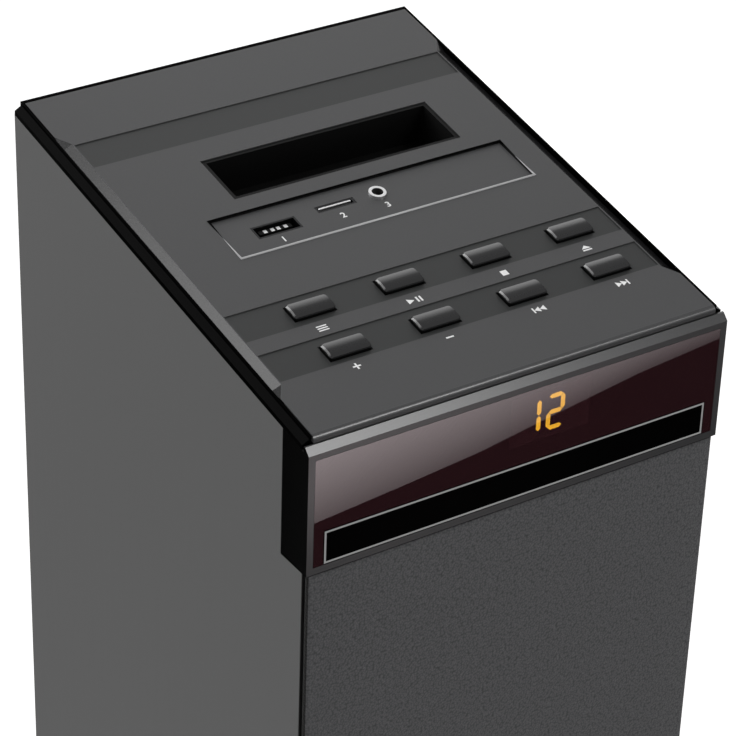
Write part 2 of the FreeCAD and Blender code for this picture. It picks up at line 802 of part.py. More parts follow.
# Black trim round three sides of the deck, standing on the panels' top edges
def make_trim():
    trim = on_deck("top_trim")
    rim = "half_width - trim_inset"
    inner = rim + " - trim_rim"
    rear = "deck_run - trim_drop * tan(deck_slope)"
    skirt_side = "inner_half - 0.3"
    skirt_front, skirt_rear = "trim_drop", "deck_run - trim_rear + trim_drop"
    for way in ("1", "-1"):
        profile = [("half_width", "-trim_drop"), ("half_width", "trim_wall - trim_drop"),
                   (rim, "-trim_shoulder"), (rim, "0"), (inner, "0"), (inner, "-deck_thickness"),
                   (inner + " - trim_ledge", "-deck_thickness"), (inner + " - trim_ledge", "-trim_drop")]
        pad(trim, "XZ", ("0", rear), [("%s * (%s)" % (way, x), z) for x, z in profile])
        skirt = rectangle((inner + " - trim_ledge", skirt_side), ("-trim_skirt", "-trim_drop"))
        pad(trim, "XZ", (skirt_front, skirt_rear), [("%s * (%s)" % (way, x), z) for x, z in skirt])
        if way == "1":
            pad(trim, "YZ", ("-(%s)" % rim, rim), [
                (rear, "-trim_drop"), ("deck_run", "0"), ("deck_run - 1.2", "0"),
                ("deck_run - 1.2", "-deck_thickness"), ("deck_run - trim_rear", "-deck_thickness"),
                ("deck_run - trim_rear", "-trim_drop")])
            pad(trim, "XY", ("-trim_skirt", "-trim_drop"),
                rectangle(("-(%s)" % skirt_side, skirt_side), ("deck_run - trim_rear", skirt_rear)))


# Sloped deck with its openings, bands and bevelled sides
def button_places():
    """Name, left edge and front edge of each button, from the back row to the front row."""
    names = (("mode", "play", "stop", "open_close"), ("volume_up", "volume_down", "previous", "next"))
    return [(name + "_button", "first_button + %d * button_pitch" % column,
             "button_start + %d * button_row" % (1 - row))
            for row, line in enumerate(names) for column, name in enumerate(line)]


def board_bosses():
    return [("%s * (deck_half - board_inset - boss_inset)" % x, u)
            for x in ("1", "-1") for u in ("board_start + boss_inset", "board_stop - boss_inset")]


def side_bevel(name, way):
    """The wedge taken off one long side of the deck, running out to a point at both ends."""
    edge = value("deck_half") + 0.5
    line = value("deck_half - bevel_width")
    drop = value("bevel_drop") * (edge - line) / value("bevel_width")
    start, end, run = value("bevel_start"), value("bevel_end"), value("bevel_run_out")
    above = 0.5
    inside = [FreeCAD.Vector(way * line, u, 0) for u in (start, end)]
    low = [FreeCAD.Vector(way * edge, u, -drop) for u in (start, end)]
    tips = [FreeCAD.Vector(way * edge, u, 0) for u in (start - run, end + run)]
    lift = FreeCAD.Vector(0, 0, above)
    faces = [
        [inside[0], inside[1], low[1], low[0]],
        [inside[0], low[0], tips[0]],
        [inside[1], tips[1], low[1]],
        [low[0], low[1], tips[1], tips[1] + lift, tips[0] + lift, tips[0]],
        [inside[0], tips[0], tips[0] + lift, inside[0] + lift],
        [inside[1], inside[1] + lift, tips[1] + lift, tips[1]],
        [inside[0], inside[0] + lift, inside[1] + lift, inside[1]],
        [inside[0] + lift, tips[0] + lift, tips[1] + lift, inside[1] + lift],
    ]
    shell = Part.makeShell([Part.Face(Part.makePolygon(corners + corners[:1])) for corners in faces])
    wedge = doc.addObject("Part::Feature", name)
    solid = Part.makeSolid(shell)
    if solid.Volume < 0:
        solid.reverse()
    wedge.Shape = solid
    wedge.Placement = FreeCAD.Placement(
        FreeCAD.Vector(0, value("deck_front"), value("deck_low")),
        FreeCAD.Rotation(FreeCAD.Vector(1, 0, 0), value("deck_slope")))
    return wedge


def make_deck():
    plate = on_deck("deck_plate")
    pad(plate, "XY", ("-deck_thickness", "0"),
        rectangle(("-deck_half", "deck_half"), ("-deck_lip", "deck_run - 1.5")))
    front = value("-deck_lip")
    eased(plate, "Fillet", "deck_round",
          lambda edge: near(edge.YMin, front) and near(edge.YMax, front) and near(edge.ZMin, 0))
    pad(plate, "XY", ("-board_depth", "-deck_thickness"),
        *[(x, u, "boss_radius") for x, u in board_bosses()])
    through = ("-deck_thickness - 0.5", "1")
    pocket(plate, "XY", through, rectangle(
        around("slot_x", "slot_width + 2 * slot_wall + 0.3"),
        around("slot_middle", "slot_length + 2 * slot_wall + 0.3")))
    socket_x = around("feature_shift", "socket_width")
    socket_u = ("socket_start", "socket_start + socket_length")
    pocket(plate, "XY", ("plate_floor", "1"), rectangle(socket_x, socket_u))
    pocket(plate, "XY", through, rectangle(
        around("feature_shift", "socket_width - 2 * socket_ledge"),
        around("socket_start + socket_length / 2", "socket_length - 1.6 * socket_ledge")))
    line = "deck_half - bevel_width - 0.3"
    for start in ("button_start - 1.8", "button_start + button_row - 2.3", "slot_start + slot_length + 11"):
        pocket(plate, "XY", ("-band_depth", "1"),
               rectangle(("-(%s)" % line, line), (start, start + " + band_height")))
    for _, left, start in button_places():
        pocket(plate, "XY", through, rectangle(
            (left, left + " + button_width"), (start, start + " + button_length")))
    cut("top_deck", plate, side_bevel("left_bevel", -1), side_bevel("right_bevel", 1))

    liner = on_deck("phone_slot_liner")
    outer_x = around("slot_x", "slot_width + 2 * slot_wall")
    outer_u = around("slot_middle", "slot_length + 2 * slot_wall")
    pad(liner, "XY", ("-slot_depth - slot_wall", "-deck_gap"), rectangle(outer_x, outer_u))
    pad(liner, "XY", ("-deck_thickness - slot_wall", "-deck_thickness"), rectangle(
        around("slot_x", "slot_width + 2 * (slot_wall + slot_flange)"),
        around("slot_middle", "slot_length + 2 * (slot_wall + slot_flange)")))
    pocket(liner, "XY", ("-slot_depth", "1"), rectangle(
        around("slot_x", "slot_width"), ("slot_start", "slot_start + slot_length")))


# Socket panel, the three sockets and the control board under them
def make_sockets():
    panel = on_deck("socket_panel")
    pad(panel, "XY", ("plate_floor", "-socket_recess"), rectangle(
        around("feature_shift", "socket_width - 0.5"),
        ("socket_start + 0.25", "socket_start + socket_length - 0.25")))
    through = ("plate_floor - 1", "1")
    pocket(panel, "XY", through, rectangle(around("usb_x", "usb_width"), around("usb_u", "usb_height")))
    pocket(panel, "XY", through, rectangle(
        around("card_x", "card_width"), around("card_u", "card_gap + 1.4")))
    pocket(panel, "XY", through, ("aux_x", "aux_u", "aux_collar - 0.5"))

    usb = on_deck("usb_socket")
    pad(usb, "XY", ("-board_depth", "-socket_recess"), rectangle(
        around("usb_x", "usb_width - 0.2"), around("usb_u", "usb_height - 0.2")))
    pocket(usb, "XY", ("1.5 - board_depth", "1"), rectangle(
        around("usb_x", "usb_width - 0.2 - 2 * usb_wall"),
        around("usb_u", "usb_height - 0.2 - 2 * usb_wall")))
    pad(usb, "XY", ("1.5 - board_depth", "-socket_recess - 1"), rectangle(
        around("usb_x", "usb_width - 4"), around("usb_u + 0.7", "usb_tongue")))

    card = on_deck("card_socket")
    pad(card, "XY", ("-board_depth", "-socket_recess - 0.1"), rectangle(
        around("card_x", "card_width - 0.2"), around("card_u", "card_gap + 1.2")))
    pocket(card, "XY", ("2 - board_depth", "1"), rectangle(
        around("card_x", "card_width - 1.6"), around("card_u", "card_gap")))

    jack = on_deck("aux_jack")
    pad(jack, "XY", ("-board_depth", "-socket_recess"), ("aux_x", "aux_u", "aux_collar - 0.6"))
    pad(jack, "XY", ("-socket_recess", "0.3"), ("aux_x", "aux_u", "aux_collar"))
    pocket(jack, "XY", ("1.2 - board_depth", "1"), ("aux_x", "aux_u", "aux_bore"))

    board = on_deck("control_board")
    pad(board, "XY", ("-board_depth - board_thickness", "-board_depth"),
        rectangle(("board_inset - deck_half", "deck_half - board_inset"), ("board_start", "board_stop")))
    switches = on_deck("key_switches")
    switches.AllowCompound = True
    centres = [(left + " + button_width / 2", start + " + button_length / 2")
               for _, left, start in button_places()]
    pad(switches, "XY", ("-board_depth", "switch_height - board_depth"),
        *[rectangle(around(x, "switch_size"), around(u, "switch_size")) for x, u in centres])
    pad(switches, "XY", ("switch_height - board_depth - 0.5", "switch_top"),
        *[(x, u, "switch_stem") for x, u in centres])


# Eight buttons that press the key switches
def make_buttons():
    for name, left, start in button_places():
        button = on_deck(name)
        wide = (left + " + button_gap", left + " + button_width - button_gap")
        long = (start + " + button_gap", start + " + button_length - button_gap")
        pad(button, "XY", ("-deck_thickness - 1.1", "button_rise"), rectangle(wide, long))
        top = value("button_rise")
        eased(button, "Fillet", "button_round", lambda edge: near(edge.ZMin, top))
        pad(button, "XY", ("-deck_thickness - 1.1", "-deck_thickness - 0.1"), rectangle(
            (wide[0] + " - button_flange", wide[1] + " + button_flange"),
            (long[0] + " - button_flange", long[1] + " + button_flange")))
        pad(button, "XY", ("switch_top + button_travel + 0.1", "-deck_thickness - 0.5"),
            (left + " + button_width / 2", start + " + button_length / 2", "button_stem"))


# Fascia with its smoked window and the display behind it
def make_fascia():
    fascia = body("front_fascia")
    pad(fascia, "XZ", ("face", "face + fascia_plate"),
        rectangle(("-half_width", "half_width"), ("fascia_bottom", "fascia_top")))
    front, top = value("face"), value("fascia_top")
    eased(fascia, "Chamfer", "fascia_bevel",
          lambda edge: near(edge.ZMin, top) and near(edge.YMin, front) and near(edge.YMax, front))
    flank = [("face + fascia_plate - 0.5", "fascia_bottom"), ("notch - seam", "fascia_bottom"),
             ("notch - seam", below_deck("notch - seam", "trim_drop + seam")),
             ("face + fascia_plate - 0.5", below_deck("face + fascia_plate - 0.5", "trim_drop + seam"))]
    for inside, outside in (("-half_width", "fascia_flank - half_width"),
                            ("half_width - fascia_flank", "half_width")):
        pad(fascia, "YZ", (inside, outside), flank)
    pocket(fascia, "XZ", ("face - 1", "face + window_thickness"), rectangle(
        ("-window_half", "window_half"), ("deck_low - window_bottom", "deck_low - window_top")))
    pocket(fascia, "XZ", ("face - 1", "face + fascia_plate + 1"), rectangle(
        around("0", "door_width + 2 * door_gap"),
        ("deck_low - window_bottom", "deck_low - door_top + door_gap")))
    display_z = "deck_low - display_drop"
    pocket(fascia, "XZ", ("face - 1", "face + fascia_plate + 1"), rectangle(
        around("display_x", "display_width"), around(display_z, "display_height")))

    window = body("display_window")
    legs = "door_width / 2 + door_gap"
    side = "window_half - 0.1"
    low, high = "deck_low - window_bottom + 0.1", "deck_low - window_top - 0.1"
    arch = "deck_low - door_top + door_gap"
    pad(window, "XZ", ("face", "face + window_thickness"), [
        ("-(%s)" % side, low), ("-(%s)" % legs, low), ("-(%s)" % legs, arch), (legs, arch),
        (legs, low), (side, low), (side, high), ("-(%s)" % side, high)])

    behind = "face + fascia_plate"
    digits = box("digit_block", around("display_x", "display_width - 0.6"),
                 (behind + " - 0.5", behind + " + display_depth"),
                 around(display_z, "display_height - 0.6"))
    board = box("digit_board", around("display_x", "display_width + 2 * display_margin"),
                (behind + " + display_depth", behind + " + display_depth + board_thickness"),
                around(display_z, "display_height + 4.5"))
    grouped("display_module", digits, board)


# Disc tray, its front, and the rack that drives it
def tooth_outline(line, way, centre, module, gear):
    """One tooth about a pitch line: straight flanks on a rack, slimmer at the tip on a gear."""
    half = "(%s * pi / 4 - tooth_slack)" % module
    tip = "0.65 * " + module
    root = "1.15 * " + module
    lean = ("0.44", "0.10") if gear else ("0.364", "0.364")
    slim = "(%s - %s * %s)" % (half, lean[0], tip)
    wide = "(%s + %s * %s)" % (half, lean[1], root)
    near_side = "%s - %d * %s" % (line, way, root)
    far_side = "%s + %d * %s" % (line, way, tip)
    return [(near_side, "%s - %s" % (centre, wide)), (far_side, "%s - %s" % (centre, slim)),
            (far_side, "%s + %s" % (centre, slim)), (near_side, "%s + %s" % (centre, wide))]


def make_tray():
    tray = body("disc_tray")
    pad(tray, "XY", ("tray_floor", "tray_top"), [
        ("-tray_half", "tray_front"), ("tray_half", "tray_front"), ("tray_half", "tray_rear"),
        ("tray_slot", "tray_rear"), ("tray_slot", "disc_y - tray_slot"),
        ("-tray_slot", "disc_y - tray_slot"), ("-tray_slot", "tray_rear"), ("-tray_half", "tray_rear")])
    pocket(tray, "XY", ("tray_top - disc_recess", "tray_top + 1"), ("0", "disc_y", "disc_radius"))
    pocket(tray, "XY", ("tray_top - disc_recess - 0.6", "tray_top + 1"),
           ("0", "disc_y", "small_disc_radius"))
    pad(tray, "XY", ("rack_floor", "tray_floor"), rectangle(
        ("4 - tray_half", "tray_half - 4"), ("tray_front", "tray_front + door_thickness")))
    pitch = "tooth_module * pi"
    pad(tray, "XY", ("rack_floor", "tray_floor"), rectangle(
        ("rack_line - 1.1 * tooth_module - rack_width", "rack_line - 1.1 * tooth_module"),
        ("gear_y - 1.5 * %s" % pitch, "gear_y + tray_travel + 1.5 * " + pitch)))
    first = pad(tray, "XY", ("rack_floor", "tray_floor"), tooth_outline(
        "rack_line", 1, "gear_y - %s / 2" % pitch, "tooth_module", False))
    steps = "ceil(tray_travel / (%s))" % pitch
    teeth(tray, first, steps + " + 2", "(%s + 1) * %s" % (steps, pitch))

    door = body("tray_door")
    pad(door, "XZ", ("face", "face + door_thickness"), rectangle(
        around("0", "door_width"), ("deck_low - door_top - door_height", "deck_low - door_top")))


# Fixed frame of the loader, with the bridge that holds the clamp
def make_chassis():
    low = "chassis_floor - chassis_wall"
    long = ("chassis_front", "chassis_rear")
    inside = "chassis_half - chassis_wall"
    parts = [box("chassis_base", ("-chassis_half", "chassis_half"), long, (low, "chassis_floor"))]
    lip_edge = "tray_half - 3 * guide_lip"
    lower_lip = ("tray_floor - guide_gap - guide_lip", "tray_floor - guide_gap")
    upper_lip = ("tray_top + guide_gap", "tray_top + guide_gap + guide_lip")
    for way, wall, lip in (
            ("left", ("-chassis_half", "-(%s)" % inside), ("-(%s)" % inside, "-(%s)" % lip_edge)),
            ("right", (inside, "chassis_half"), (lip_edge, inside))):
        parts.append(box(way + "_wall", wall, long, (low, "wall_top")))
        parts.append(box(way + "_lower_lip", lip, long, lower_lip))
        parts.append(box(way + "_upper_lip", lip, long, upper_lip))
    parts.append(box("drive_shelf", ("-chassis_half", "chassis_half"),
                     ("chassis_front", "gear_y + gear_setback"),
                     ("drive_plate - chassis_wall", "drive_plate")))
    parts.append(rod("gear_post", "shaft_radius + 0.5", "z", ("drive_plate - 1", "tray_floor - 0.8"),
                     ("gear_x", "gear_y")))
    for way, lug in (("left", ("-traverse_half - 1 - lug_width", "-traverse_half - 1")),
                     ("right", ("traverse_half + 1", "traverse_half + 1 + lug_width"))):
        parts.append(box(way + "_lug", lug, around("hinge_y", "2 * lug_width"),
                         (low, "hinge_z + trunnion_radius + 2")))
    frame = joined("chassis_frame", *parts)
    pivots = rod("pivot_bore", "trunnion_radius + running_gap", "x",
                 ("-traverse_half - 2 - lug_width", "traverse_half + 2 + lug_width"),
                 ("hinge_y", "hinge_z"))
    shaft_hole = rod("shaft_hole", "shaft_radius + 0.5", "z",
                     ("drive_plate - 2 * chassis_wall", "drive_plate + 1"), ("motor_x", "gear_y"))
    cut("loader_chassis", frame, pivots, shaft_hole)

    bridge = body("clamp_bridge")
    pad(bridge, "XY", ("wall_top", "wall_top + bridge_plate"),
        rectangle(("-chassis_half", "chassis_half"), around("disc_y", "bridge_depth")))
    pocket(bridge, "XY", ("wall_top - 1", "wall_top + bridge_plate + 1"),
           ("0", "disc_y", "puck_radius - 1.4"))

    puck = body("clamp_puck")
    pad(puck, "XY", ("tray_top + 1.1", "wall_top - 0.5"), ("0", "disc_y", "puck_radius"))
    pad(puck, "XY", ("wall_top - 0.6", "wall_top + bridge_plate + 0.4"), ("0", "disc_y", "puck_radius - 2"))
    pad(puck, "XY", ("wall_top + bridge_plate + 0.3", "wall_top + bridge_plate + 1.8"),
        ("0", "disc_y", "puck_radius + 1.5"))
    pocket(puck, "XY", ("tray_top", "tray_top + 3.6"), ("0", "disc_y", "cone_radius + 1.4"))


# Loading drive: motor, belt, and the gear that meets the tray's rack
def belt_loop(name, grow):
    """The loop round both pulleys, `grow` outside their grooves, as a solid prism of the belt's height."""
    low = value("drive_plate + 0.7 + pulley_flange")
    height = value("belt_size")
    big = value("pulley_radius - groove_depth") + grow
    small = value("motor_pulley_radius - groove_depth") + grow
    start = FreeCAD.Vector(value("gear_x"), value("gear_y"), low)
    end = FreeCAD.Vector(value("motor_x"), value("gear_y"), low)
    lean = math.acos((big - small) / (end.x - start.x))
    up = FreeCAD.Vector(math.cos(lean), math.sin(lean), 0)
    down = FreeCAD.Vector(math.cos(lean), -math.sin(lean), 0)
    left = FreeCAD.Vector(-1, 0, 0)
    right = FreeCAD.Vector(1, 0, 0)
    outline = Part.Wire([
        Part.Arc(start + up * big, start + left * big, start + down * big).toShape(),
        Part.makeLine(start + down * big, end + down * small),
        Part.Arc(end + down * small, end + right * small, end + up * small).toShape(),
        Part.makeLine(end + up * small, start + up * big),
    ])
    loop = doc.addObject("Part::Feature", name)
    loop.Shape = Part.Face(outline).extrude(FreeCAD.Vector(0, 0, height))
    return loop


def grooved_pulley(piece, x, y, radius):
    """Three discs: two flanges with the belt's groove between them. Returns the top of the upper one."""
    base = "drive_plate + 0.5"
    rim = base + " + pulley_flange + belt_size + 0.4"
    top = rim + " + pulley_flange"
    pad(piece, "XY", (base, base + " + pulley_flange"), (x, y, radius))
    pad(piece, "XY", (base, rim), (x, y, radius + " - groove_depth"))
    pad(piece, "XY", (rim, top), (x, y, radius))
    return top


def make_drive():
    gear = body("drive_gear")
    seat(gear, "gear_x", "gear_y")
    top = grooved_pulley(gear, "0", "0", "pulley_radius")
    span = (top + " - 0.1", "tray_floor - 0.8")
    pad(gear, "XY", span, ("0", "0", "gear_radius - tooth_module"))
    tooth = pad(gear, "XY", span, tooth_outline("-gear_radius", -1, "0", "tooth_module", True))
    teeth(gear, tooth, "gear_teeth")
    pocket(gear, "XY", ("drive_plate", "tray_floor"), ("0", "0", "shaft_radius + 0.5 + running_gap"))

    pulley = body("motor_pulley")
    grooved_pulley(pulley, "motor_x", "gear_y", "motor_pulley_radius")
    motor_top = "drive_plate - chassis_wall"
    shaft_end = motor_top + " - motor_length + 4"
    pad(pulley, "XY", (shaft_end, "drive_plate + 1"), ("motor_x", "gear_y", "shaft_radius - 0.5"))

    motor = body("loading_motor")
    pad(motor, "XY", (motor_top + " - motor_length", motor_top), ("motor_x", "gear_y", "motor_radius"))
    pocket(motor, "XY", (shaft_end + " - 0.5", "drive_plate"),
           ("motor_x", "gear_y", "shaft_radius - 0.5 + running_gap"))
    cut("loading_belt", belt_loop("belt_outside", value("belt_size + running_gap")),
        belt_loop("belt_inside", value("running_gap")))


# Traverse: the tilting frame with spindle, pickup and sled gear
def make_traverse():
    frame = body("traverse_frame")
    level = ("traverse_floor", "traverse_top")
    pad(frame, "XY", level, rectangle(
        ("-traverse_half", "traverse_half"), ("traverse_front", "traverse_rear")))
    for ends in (("-traverse_half - trunnion_length", "trunnion_length - traverse_half"),
                 ("traverse_half - trunnion_length", "traverse_half + trunnion_length")):
        pad(frame, "YZ", ends, ("hinge_y", "hinge_z", "trunnion_radius"))
    pocket(frame, "XY", ("traverse_floor - 2", "traverse_top + 2"), rectangle(
        ("-pickup_half - 1", "pickup_half + 1"), ("window_near", "window_far")))
    pocket(frame, "XY", ("traverse_floor - 1", "traverse_top + 1"), ("0", "disc_y", "4"))
    pad(frame, "XY", ("traverse_top - 1", "sled_top - 0.1"), ("sled_x", "sled_y", "shaft_radius"))

    rods = [rod("guide_rod", "rod_radius", "y", ("window_near - 3", "window_far + 3"), (x, "rod_z"))
            for x in ("-rod_x", "rod_x")]
    grouped("sled_rods", *rods)

    motor = body("spindle_motor")
    pad(motor, "XY", ("traverse_floor - spindle_height", "traverse_floor"),
        ("0", "disc_y", "spindle_radius"))
    pocket(motor, "XY", ("traverse_floor - spindle_height + 1", "traverse_floor + 1"),
           ("0", "disc_y", "shaft_radius + running_gap"))

    table = body("turntable")
    pad(table, "XY", ("hub_top - 1.5", "hub_top"), ("0", "disc_y", "hub_radius"))
    pad(table, "XY", ("hub_top - 0.5", "hub_top + hub_cone"), ("0", "disc_y", "cone_radius"))
    top = value("hub_top + hub_cone")
    eased(table, "Chamfer", "1.2", lambda edge: near(edge.ZMin, top))
    pad(table, "XY", ("traverse_floor - spindle_height + 2", "hub_top - 1"),
        ("0", "disc_y", "shaft_radius"))

    pickup = body("optical_pickup")
    long = around("pickup_y", "pickup_length")
    pad(pickup, "XY", ("traverse_floor - 3", "traverse_top + 6.4"),
        rectangle(("-pickup_half", "pickup_half"), long))
    pad(pickup, "XY", ("traverse_top + 6", "hub_top - 2.2"), ("0", "pickup_y", "lens_radius"))
    pocket(pickup, "XZ", ("%s - 1" % long[0], "%s + 1" % long[1]),
           *[(x, "rod_z", "rod_radius + running_gap") for x in ("-rod_x", "rod_x")])
    pitch = "sled_module * pi"
    reach = ("sled_y - pickup_travel - 1.5 * " + pitch, "sled_y + 1.5 * " + pitch)
    pad(pickup, "XY", ("sled_floor", "sled_top"),
        rectangle(("pickup_half - 1", "sled_line - 1.1 * sled_module"), reach))
    steps = "ceil(pickup_travel / (%s))" % pitch
    first = pad(pickup, "XY", ("sled_floor", "sled_top"), tooth_outline(
        "sled_line", 1, "sled_y + %s / 2 - %s * %s" % (pitch, steps, pitch), "sled_module", False))
    teeth(pickup, first, steps + " + 1", "%s * %s" % (steps, pitch))

    gear = body("sled_gear")
    seat(gear, "sled_x", "sled_y")
    pad(gear, "XY", ("sled_floor", "sled_top"), ("0", "0", "sled_radius - sled_module"))
    tooth = pad(gear, "XY", ("sled_floor", "sled_top"), tooth_outline(
        "-sled_radius", -1, "0", "sled_module", True))
    teeth(gear, tooth, "gear_teeth")
    pocket(gear, "XY", ("sled_floor - 1", "sled_top + 1"), ("0", "0", "shaft_radius + running_gap"))


# Rear plate with inlet and power rocker, and the electronics it carries
def make_rear():
    outside = "cabinet_rear + rear_plate_thickness"
    plate = body("rear_plate")
    pad(plate, "XZ", ("cabinet_rear", outside), rectangle(
        around("0", "rear_plate_width"), around("rear_plate_height", "rear_plate_tall")))
    pad(plate, "XZ", ("cabinet_rear - rocker_well", outside), rectangle(
        around("rocker_x", "rocker_width + 2 * rocker_wall"),
        around("rear_plate_height", "rocker_tall + 2.5 * rocker_wall")))
    pad(plate, "XZ", ("amplifier_y + board_thickness", "cabinet_rear + 0.5"),
        *[("%s * (rear_plate_width / 2 - 16)" % x, "rear_plate_height + %s * 25" % z, "3")
          for x in ("1", "-1") for z in ("1", "-1")])
    pocket(plate, "XZ", ("cabinet_rear - rocker_well + rocker_wall", outside + " + 1"), rectangle(
        around("rocker_x", "rocker_width + 1"), around("rear_plate_height", "rocker_tall + 1.6")))
    pocket(plate, "YZ", ("rocker_x - rocker_width / 2 - 1.5", "rocker_x + rocker_width / 2 + 1.5"),
           ("rocker_pivot", "rear_plate_height", "shaft_radius + running_gap"))
    pocket(plate, "XZ", ("cabinet_rear - 1", outside + " + 1"), rectangle(
        around("inlet_x", "inlet_width + 0.2"), around("rear_plate_height", "inlet_tall + 0.2")))
    pocket(plate, "XZ", ("cabinet_rear - 1", outside + " + 1"),
           *[(x, z, "screw_radius + 0.2") for x, z in rear_plate_corners()])

    rocker = body("power_rocker")
    wedge = [("3", "-rocker_tall / 2"), ("5.2", "-rocker_tall / 2"), ("4.2", "0"),
             ("5.2", "rocker_tall / 2"), ("3", "rocker_tall / 2"), ("-4", "2.5"), ("-4", "-2.5")]
    pad(rocker, "YZ", ("-rocker_width / 2", "rocker_width / 2"), wedge)
    pad(rocker, "YZ", ("-rocker_width / 2 - 1.2", "rocker_width / 2 + 1.2"), ("0", "0", "shaft_radius"))
    rocker.Placement.Rotation = FreeCAD.Rotation(FreeCAD.Vector(1, 0, 0), 1)
    rocker.setExpression("Placement.Rotation.Angle", bound("rocker_tilt"))
    seat(rocker, "rocker_x", "rocker_pivot", "rear_plate_height")

    inlet = body("mains_inlet")
    pad(inlet, "XZ", (outside, outside + " + 1.5"), rectangle(
        around("inlet_x", "inlet_width + 2 * inlet_flange"),
        around("rear_plate_height", "inlet_tall + 2 * inlet_flange")))
    pad(inlet, "XZ", ("cabinet_rear - inlet_depth", outside + " + 0.5"), rectangle(
        around("inlet_x", "inlet_width"), around("rear_plate_height", "inlet_tall")))
    pocket(inlet, "XZ", ("cabinet_rear - inlet_depth + 2", outside + " + 2"), rectangle(
        around("inlet_x", "inlet_width - 5.4"), around("rear_plate_height", "inlet_tall - 3.8")))
    pad(inlet, "XZ", ("cabinet_rear - inlet_depth + 1.5", "cabinet_rear - 2.5"),
        *[("inlet_x + %s * 4.3" % way, "rear_plate_height", "1.2") for way in ("1", "-1")])

    board = box("amplifier_plate", around("0", "rear_plate_width - 24"),
                ("amplifier_y", "amplifier_y + board_thickness"),
                around("rear_plate_height", "amplifier_tall"))
    sink_x = "2 - sink_width / 2"
    sink_z = around("rear_plate_height", "sink_tall")
    fins = [box("fin", around("%s + %d * fin_pitch" % (sink_x, number), "fin_thickness"),
                ("amplifier_y - sink_depth", "amplifier_y - sink_base + 1"), sink_z)
            for number in range(-2, 3)]
    base = box("sink_plate", around(sink_x, "sink_width"),
               ("amplifier_y - sink_base", "amplifier_y"), sink_z)
    cans = [rod("capacitor", "capacitor_radius", "y", ("amplifier_y - capacitor_length", "amplifier_y"),
                ("2 + 3 * capacitor_radius", "rear_plate_height + %d * capacitor_pitch" % number))
            for number in (-1, 0, 1)]
    grouped("amplifier_board", board, joined("heat_sink", base, *fins), *cans)

    core = box("core", around("0", "core_width"), around("transformer_y", "core_depth"),
               ("floor_top", "floor_top + core_height"))
    coil = box("winding", around("0", "core_width - 2 * winding_overlap"),
               around("transformer_y", "core_depth + 2 * winding_bulge"),
               ("floor_top + winding_overlap", "floor_top + core_height - winding_overlap"))
    joined("mains_transformer", core, coil)


def make_loom():
    """Bundle of leads from the amplifier up the back and forward to the control board."""
    x, back = value("loom_x"), value("loom_y")
    low = value("rear_plate_height + 20")
    high = value("deck_low - 3.4")
    front = value("deck_front + 90.5")
    bend = value("loom_bend")
    rise = value("loom_rise")
    start = value("amplifier_y - loom_radius - seam")
    points = [FreeCAD.Vector(value("rear_plate_width / 2 - 22"), start, low),
              FreeCAD.Vector(x, start, low + rise), FreeCAD.Vector(x, back, low + 2.25 * rise),
              FreeCAD.Vector(x, back, high), FreeCAD.Vector(x, front, high)]
    edges = []
    previous = points[0]
    for before, corner, after in zip(points, points[1:], points[2:]):
        inward = (before - corner).normalize()
        outward = (after - corner).normalize()
        half_turn = inward.getAngle(outward) / 2
        reach = bend / math.tan(half_turn)
        enter = corner + inward * reach
        leave = corner + outward * reach
        middle = (inward + outward).normalize()
        apex = corner + middle * (bend / math.sin(half_turn) - bend)
        edges.append(Part.makeLine(previous, enter))
        edges.append(Part.Arc(enter, apex, leave).toShape())
        previous = leave
    edges.append(Part.makeLine(previous, points[-1]))
    spine = Part.Wire(edges)
    heading = points[1] - points[0]
    profile = Part.Wire([Part.makeCircle(value("loom_radius"), points[0], heading)])
    loom = doc.addObject("Part::Feature", "wiring_loom")
    loom.Shape = spine.makePipeShell([profile], True, True)


make_cabinet()
make_base()
make_screws()
make_grille()
make_drivers()
make_trim()
make_deck()
make_sockets()
make_buttons()
make_fascia()
make_tray()
make_chassis()
make_drive()
make_traverse()
make_rear()
make_loom()

NODES = [
    "left_side_panel", "right_side_panel", "back_panel", "front_baffle", "bottom_panel", "divider_shelf",
    "base_plinth", "rubber_feet", "wood_screws", "grille_frame", "grille_cloth", "port_tube",
    "upper_basket", "upper_suspension", "upper_cone", "lower_basket", "lower_suspension", "lower_cone",
    "driver_magnets", "top_trim", "top_deck", "phone_slot_liner", "socket_panel", "usb_socket",
    "card_socket", "aux_jack", "control_board", "key_switches", "front_fascia", "display_window",
    "display_module", "disc_tray", "tray_door", "loader_chassis", "clamp_bridge", "clamp_puck",
    "loading_motor", "motor_pulley", "loading_belt", "drive_gear", "traverse_frame", "spindle_motor",
    "turntable", "optical_pickup", "sled_rods", "sled_gear", "rear_plate", "power_rocker", "mains_inlet",
    "amplifier_board", "mains_transformer", "wiring_loom",
] + [name for name, _, _ in button_places()]

doc.recompute()
for item in doc.Objects:
    if "Invalid" in item.State or "Error" in item.State:
        raise RuntimeError("%s did not build: %s" % (item.Label, item.State))
    if item.isDerivedFrom("PartDesign::Pocket") and item.BaseFeature:
        if item.Shape.Volume > item.BaseFeature.Shape.Volume - 0.01:
            raise RuntimeError("%s takes nothing away" % item.Label)

os.makedirs("parts", exist_ok=True)
for node in NODES:
    shape = doc.getObject(node).Shape
    if shape.isNull() or not shape.isValid() or not shape.Solids:
        raise RuntimeError("%s has no valid solid" % node)
    shape.exportStep("parts/%s.step" % node)
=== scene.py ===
# %% [markdown]
# # Tower speaker with a disc player in its head
# The solids of the tower arrive as a fixed frame, in metres: the front faces -Y and the floor is at Z = 0.
# This lesson gives them their looks. It sets the camera and the studio first, then each finish, and last
# the pieces that are easier to work out as surfaces than to cut as solids: grille cloth, button tops,
# printed symbols, glowing digits and the thin line round the tray.

import json
import math

import bpy
import numpy as np
from mathutils import Matrix, Vector


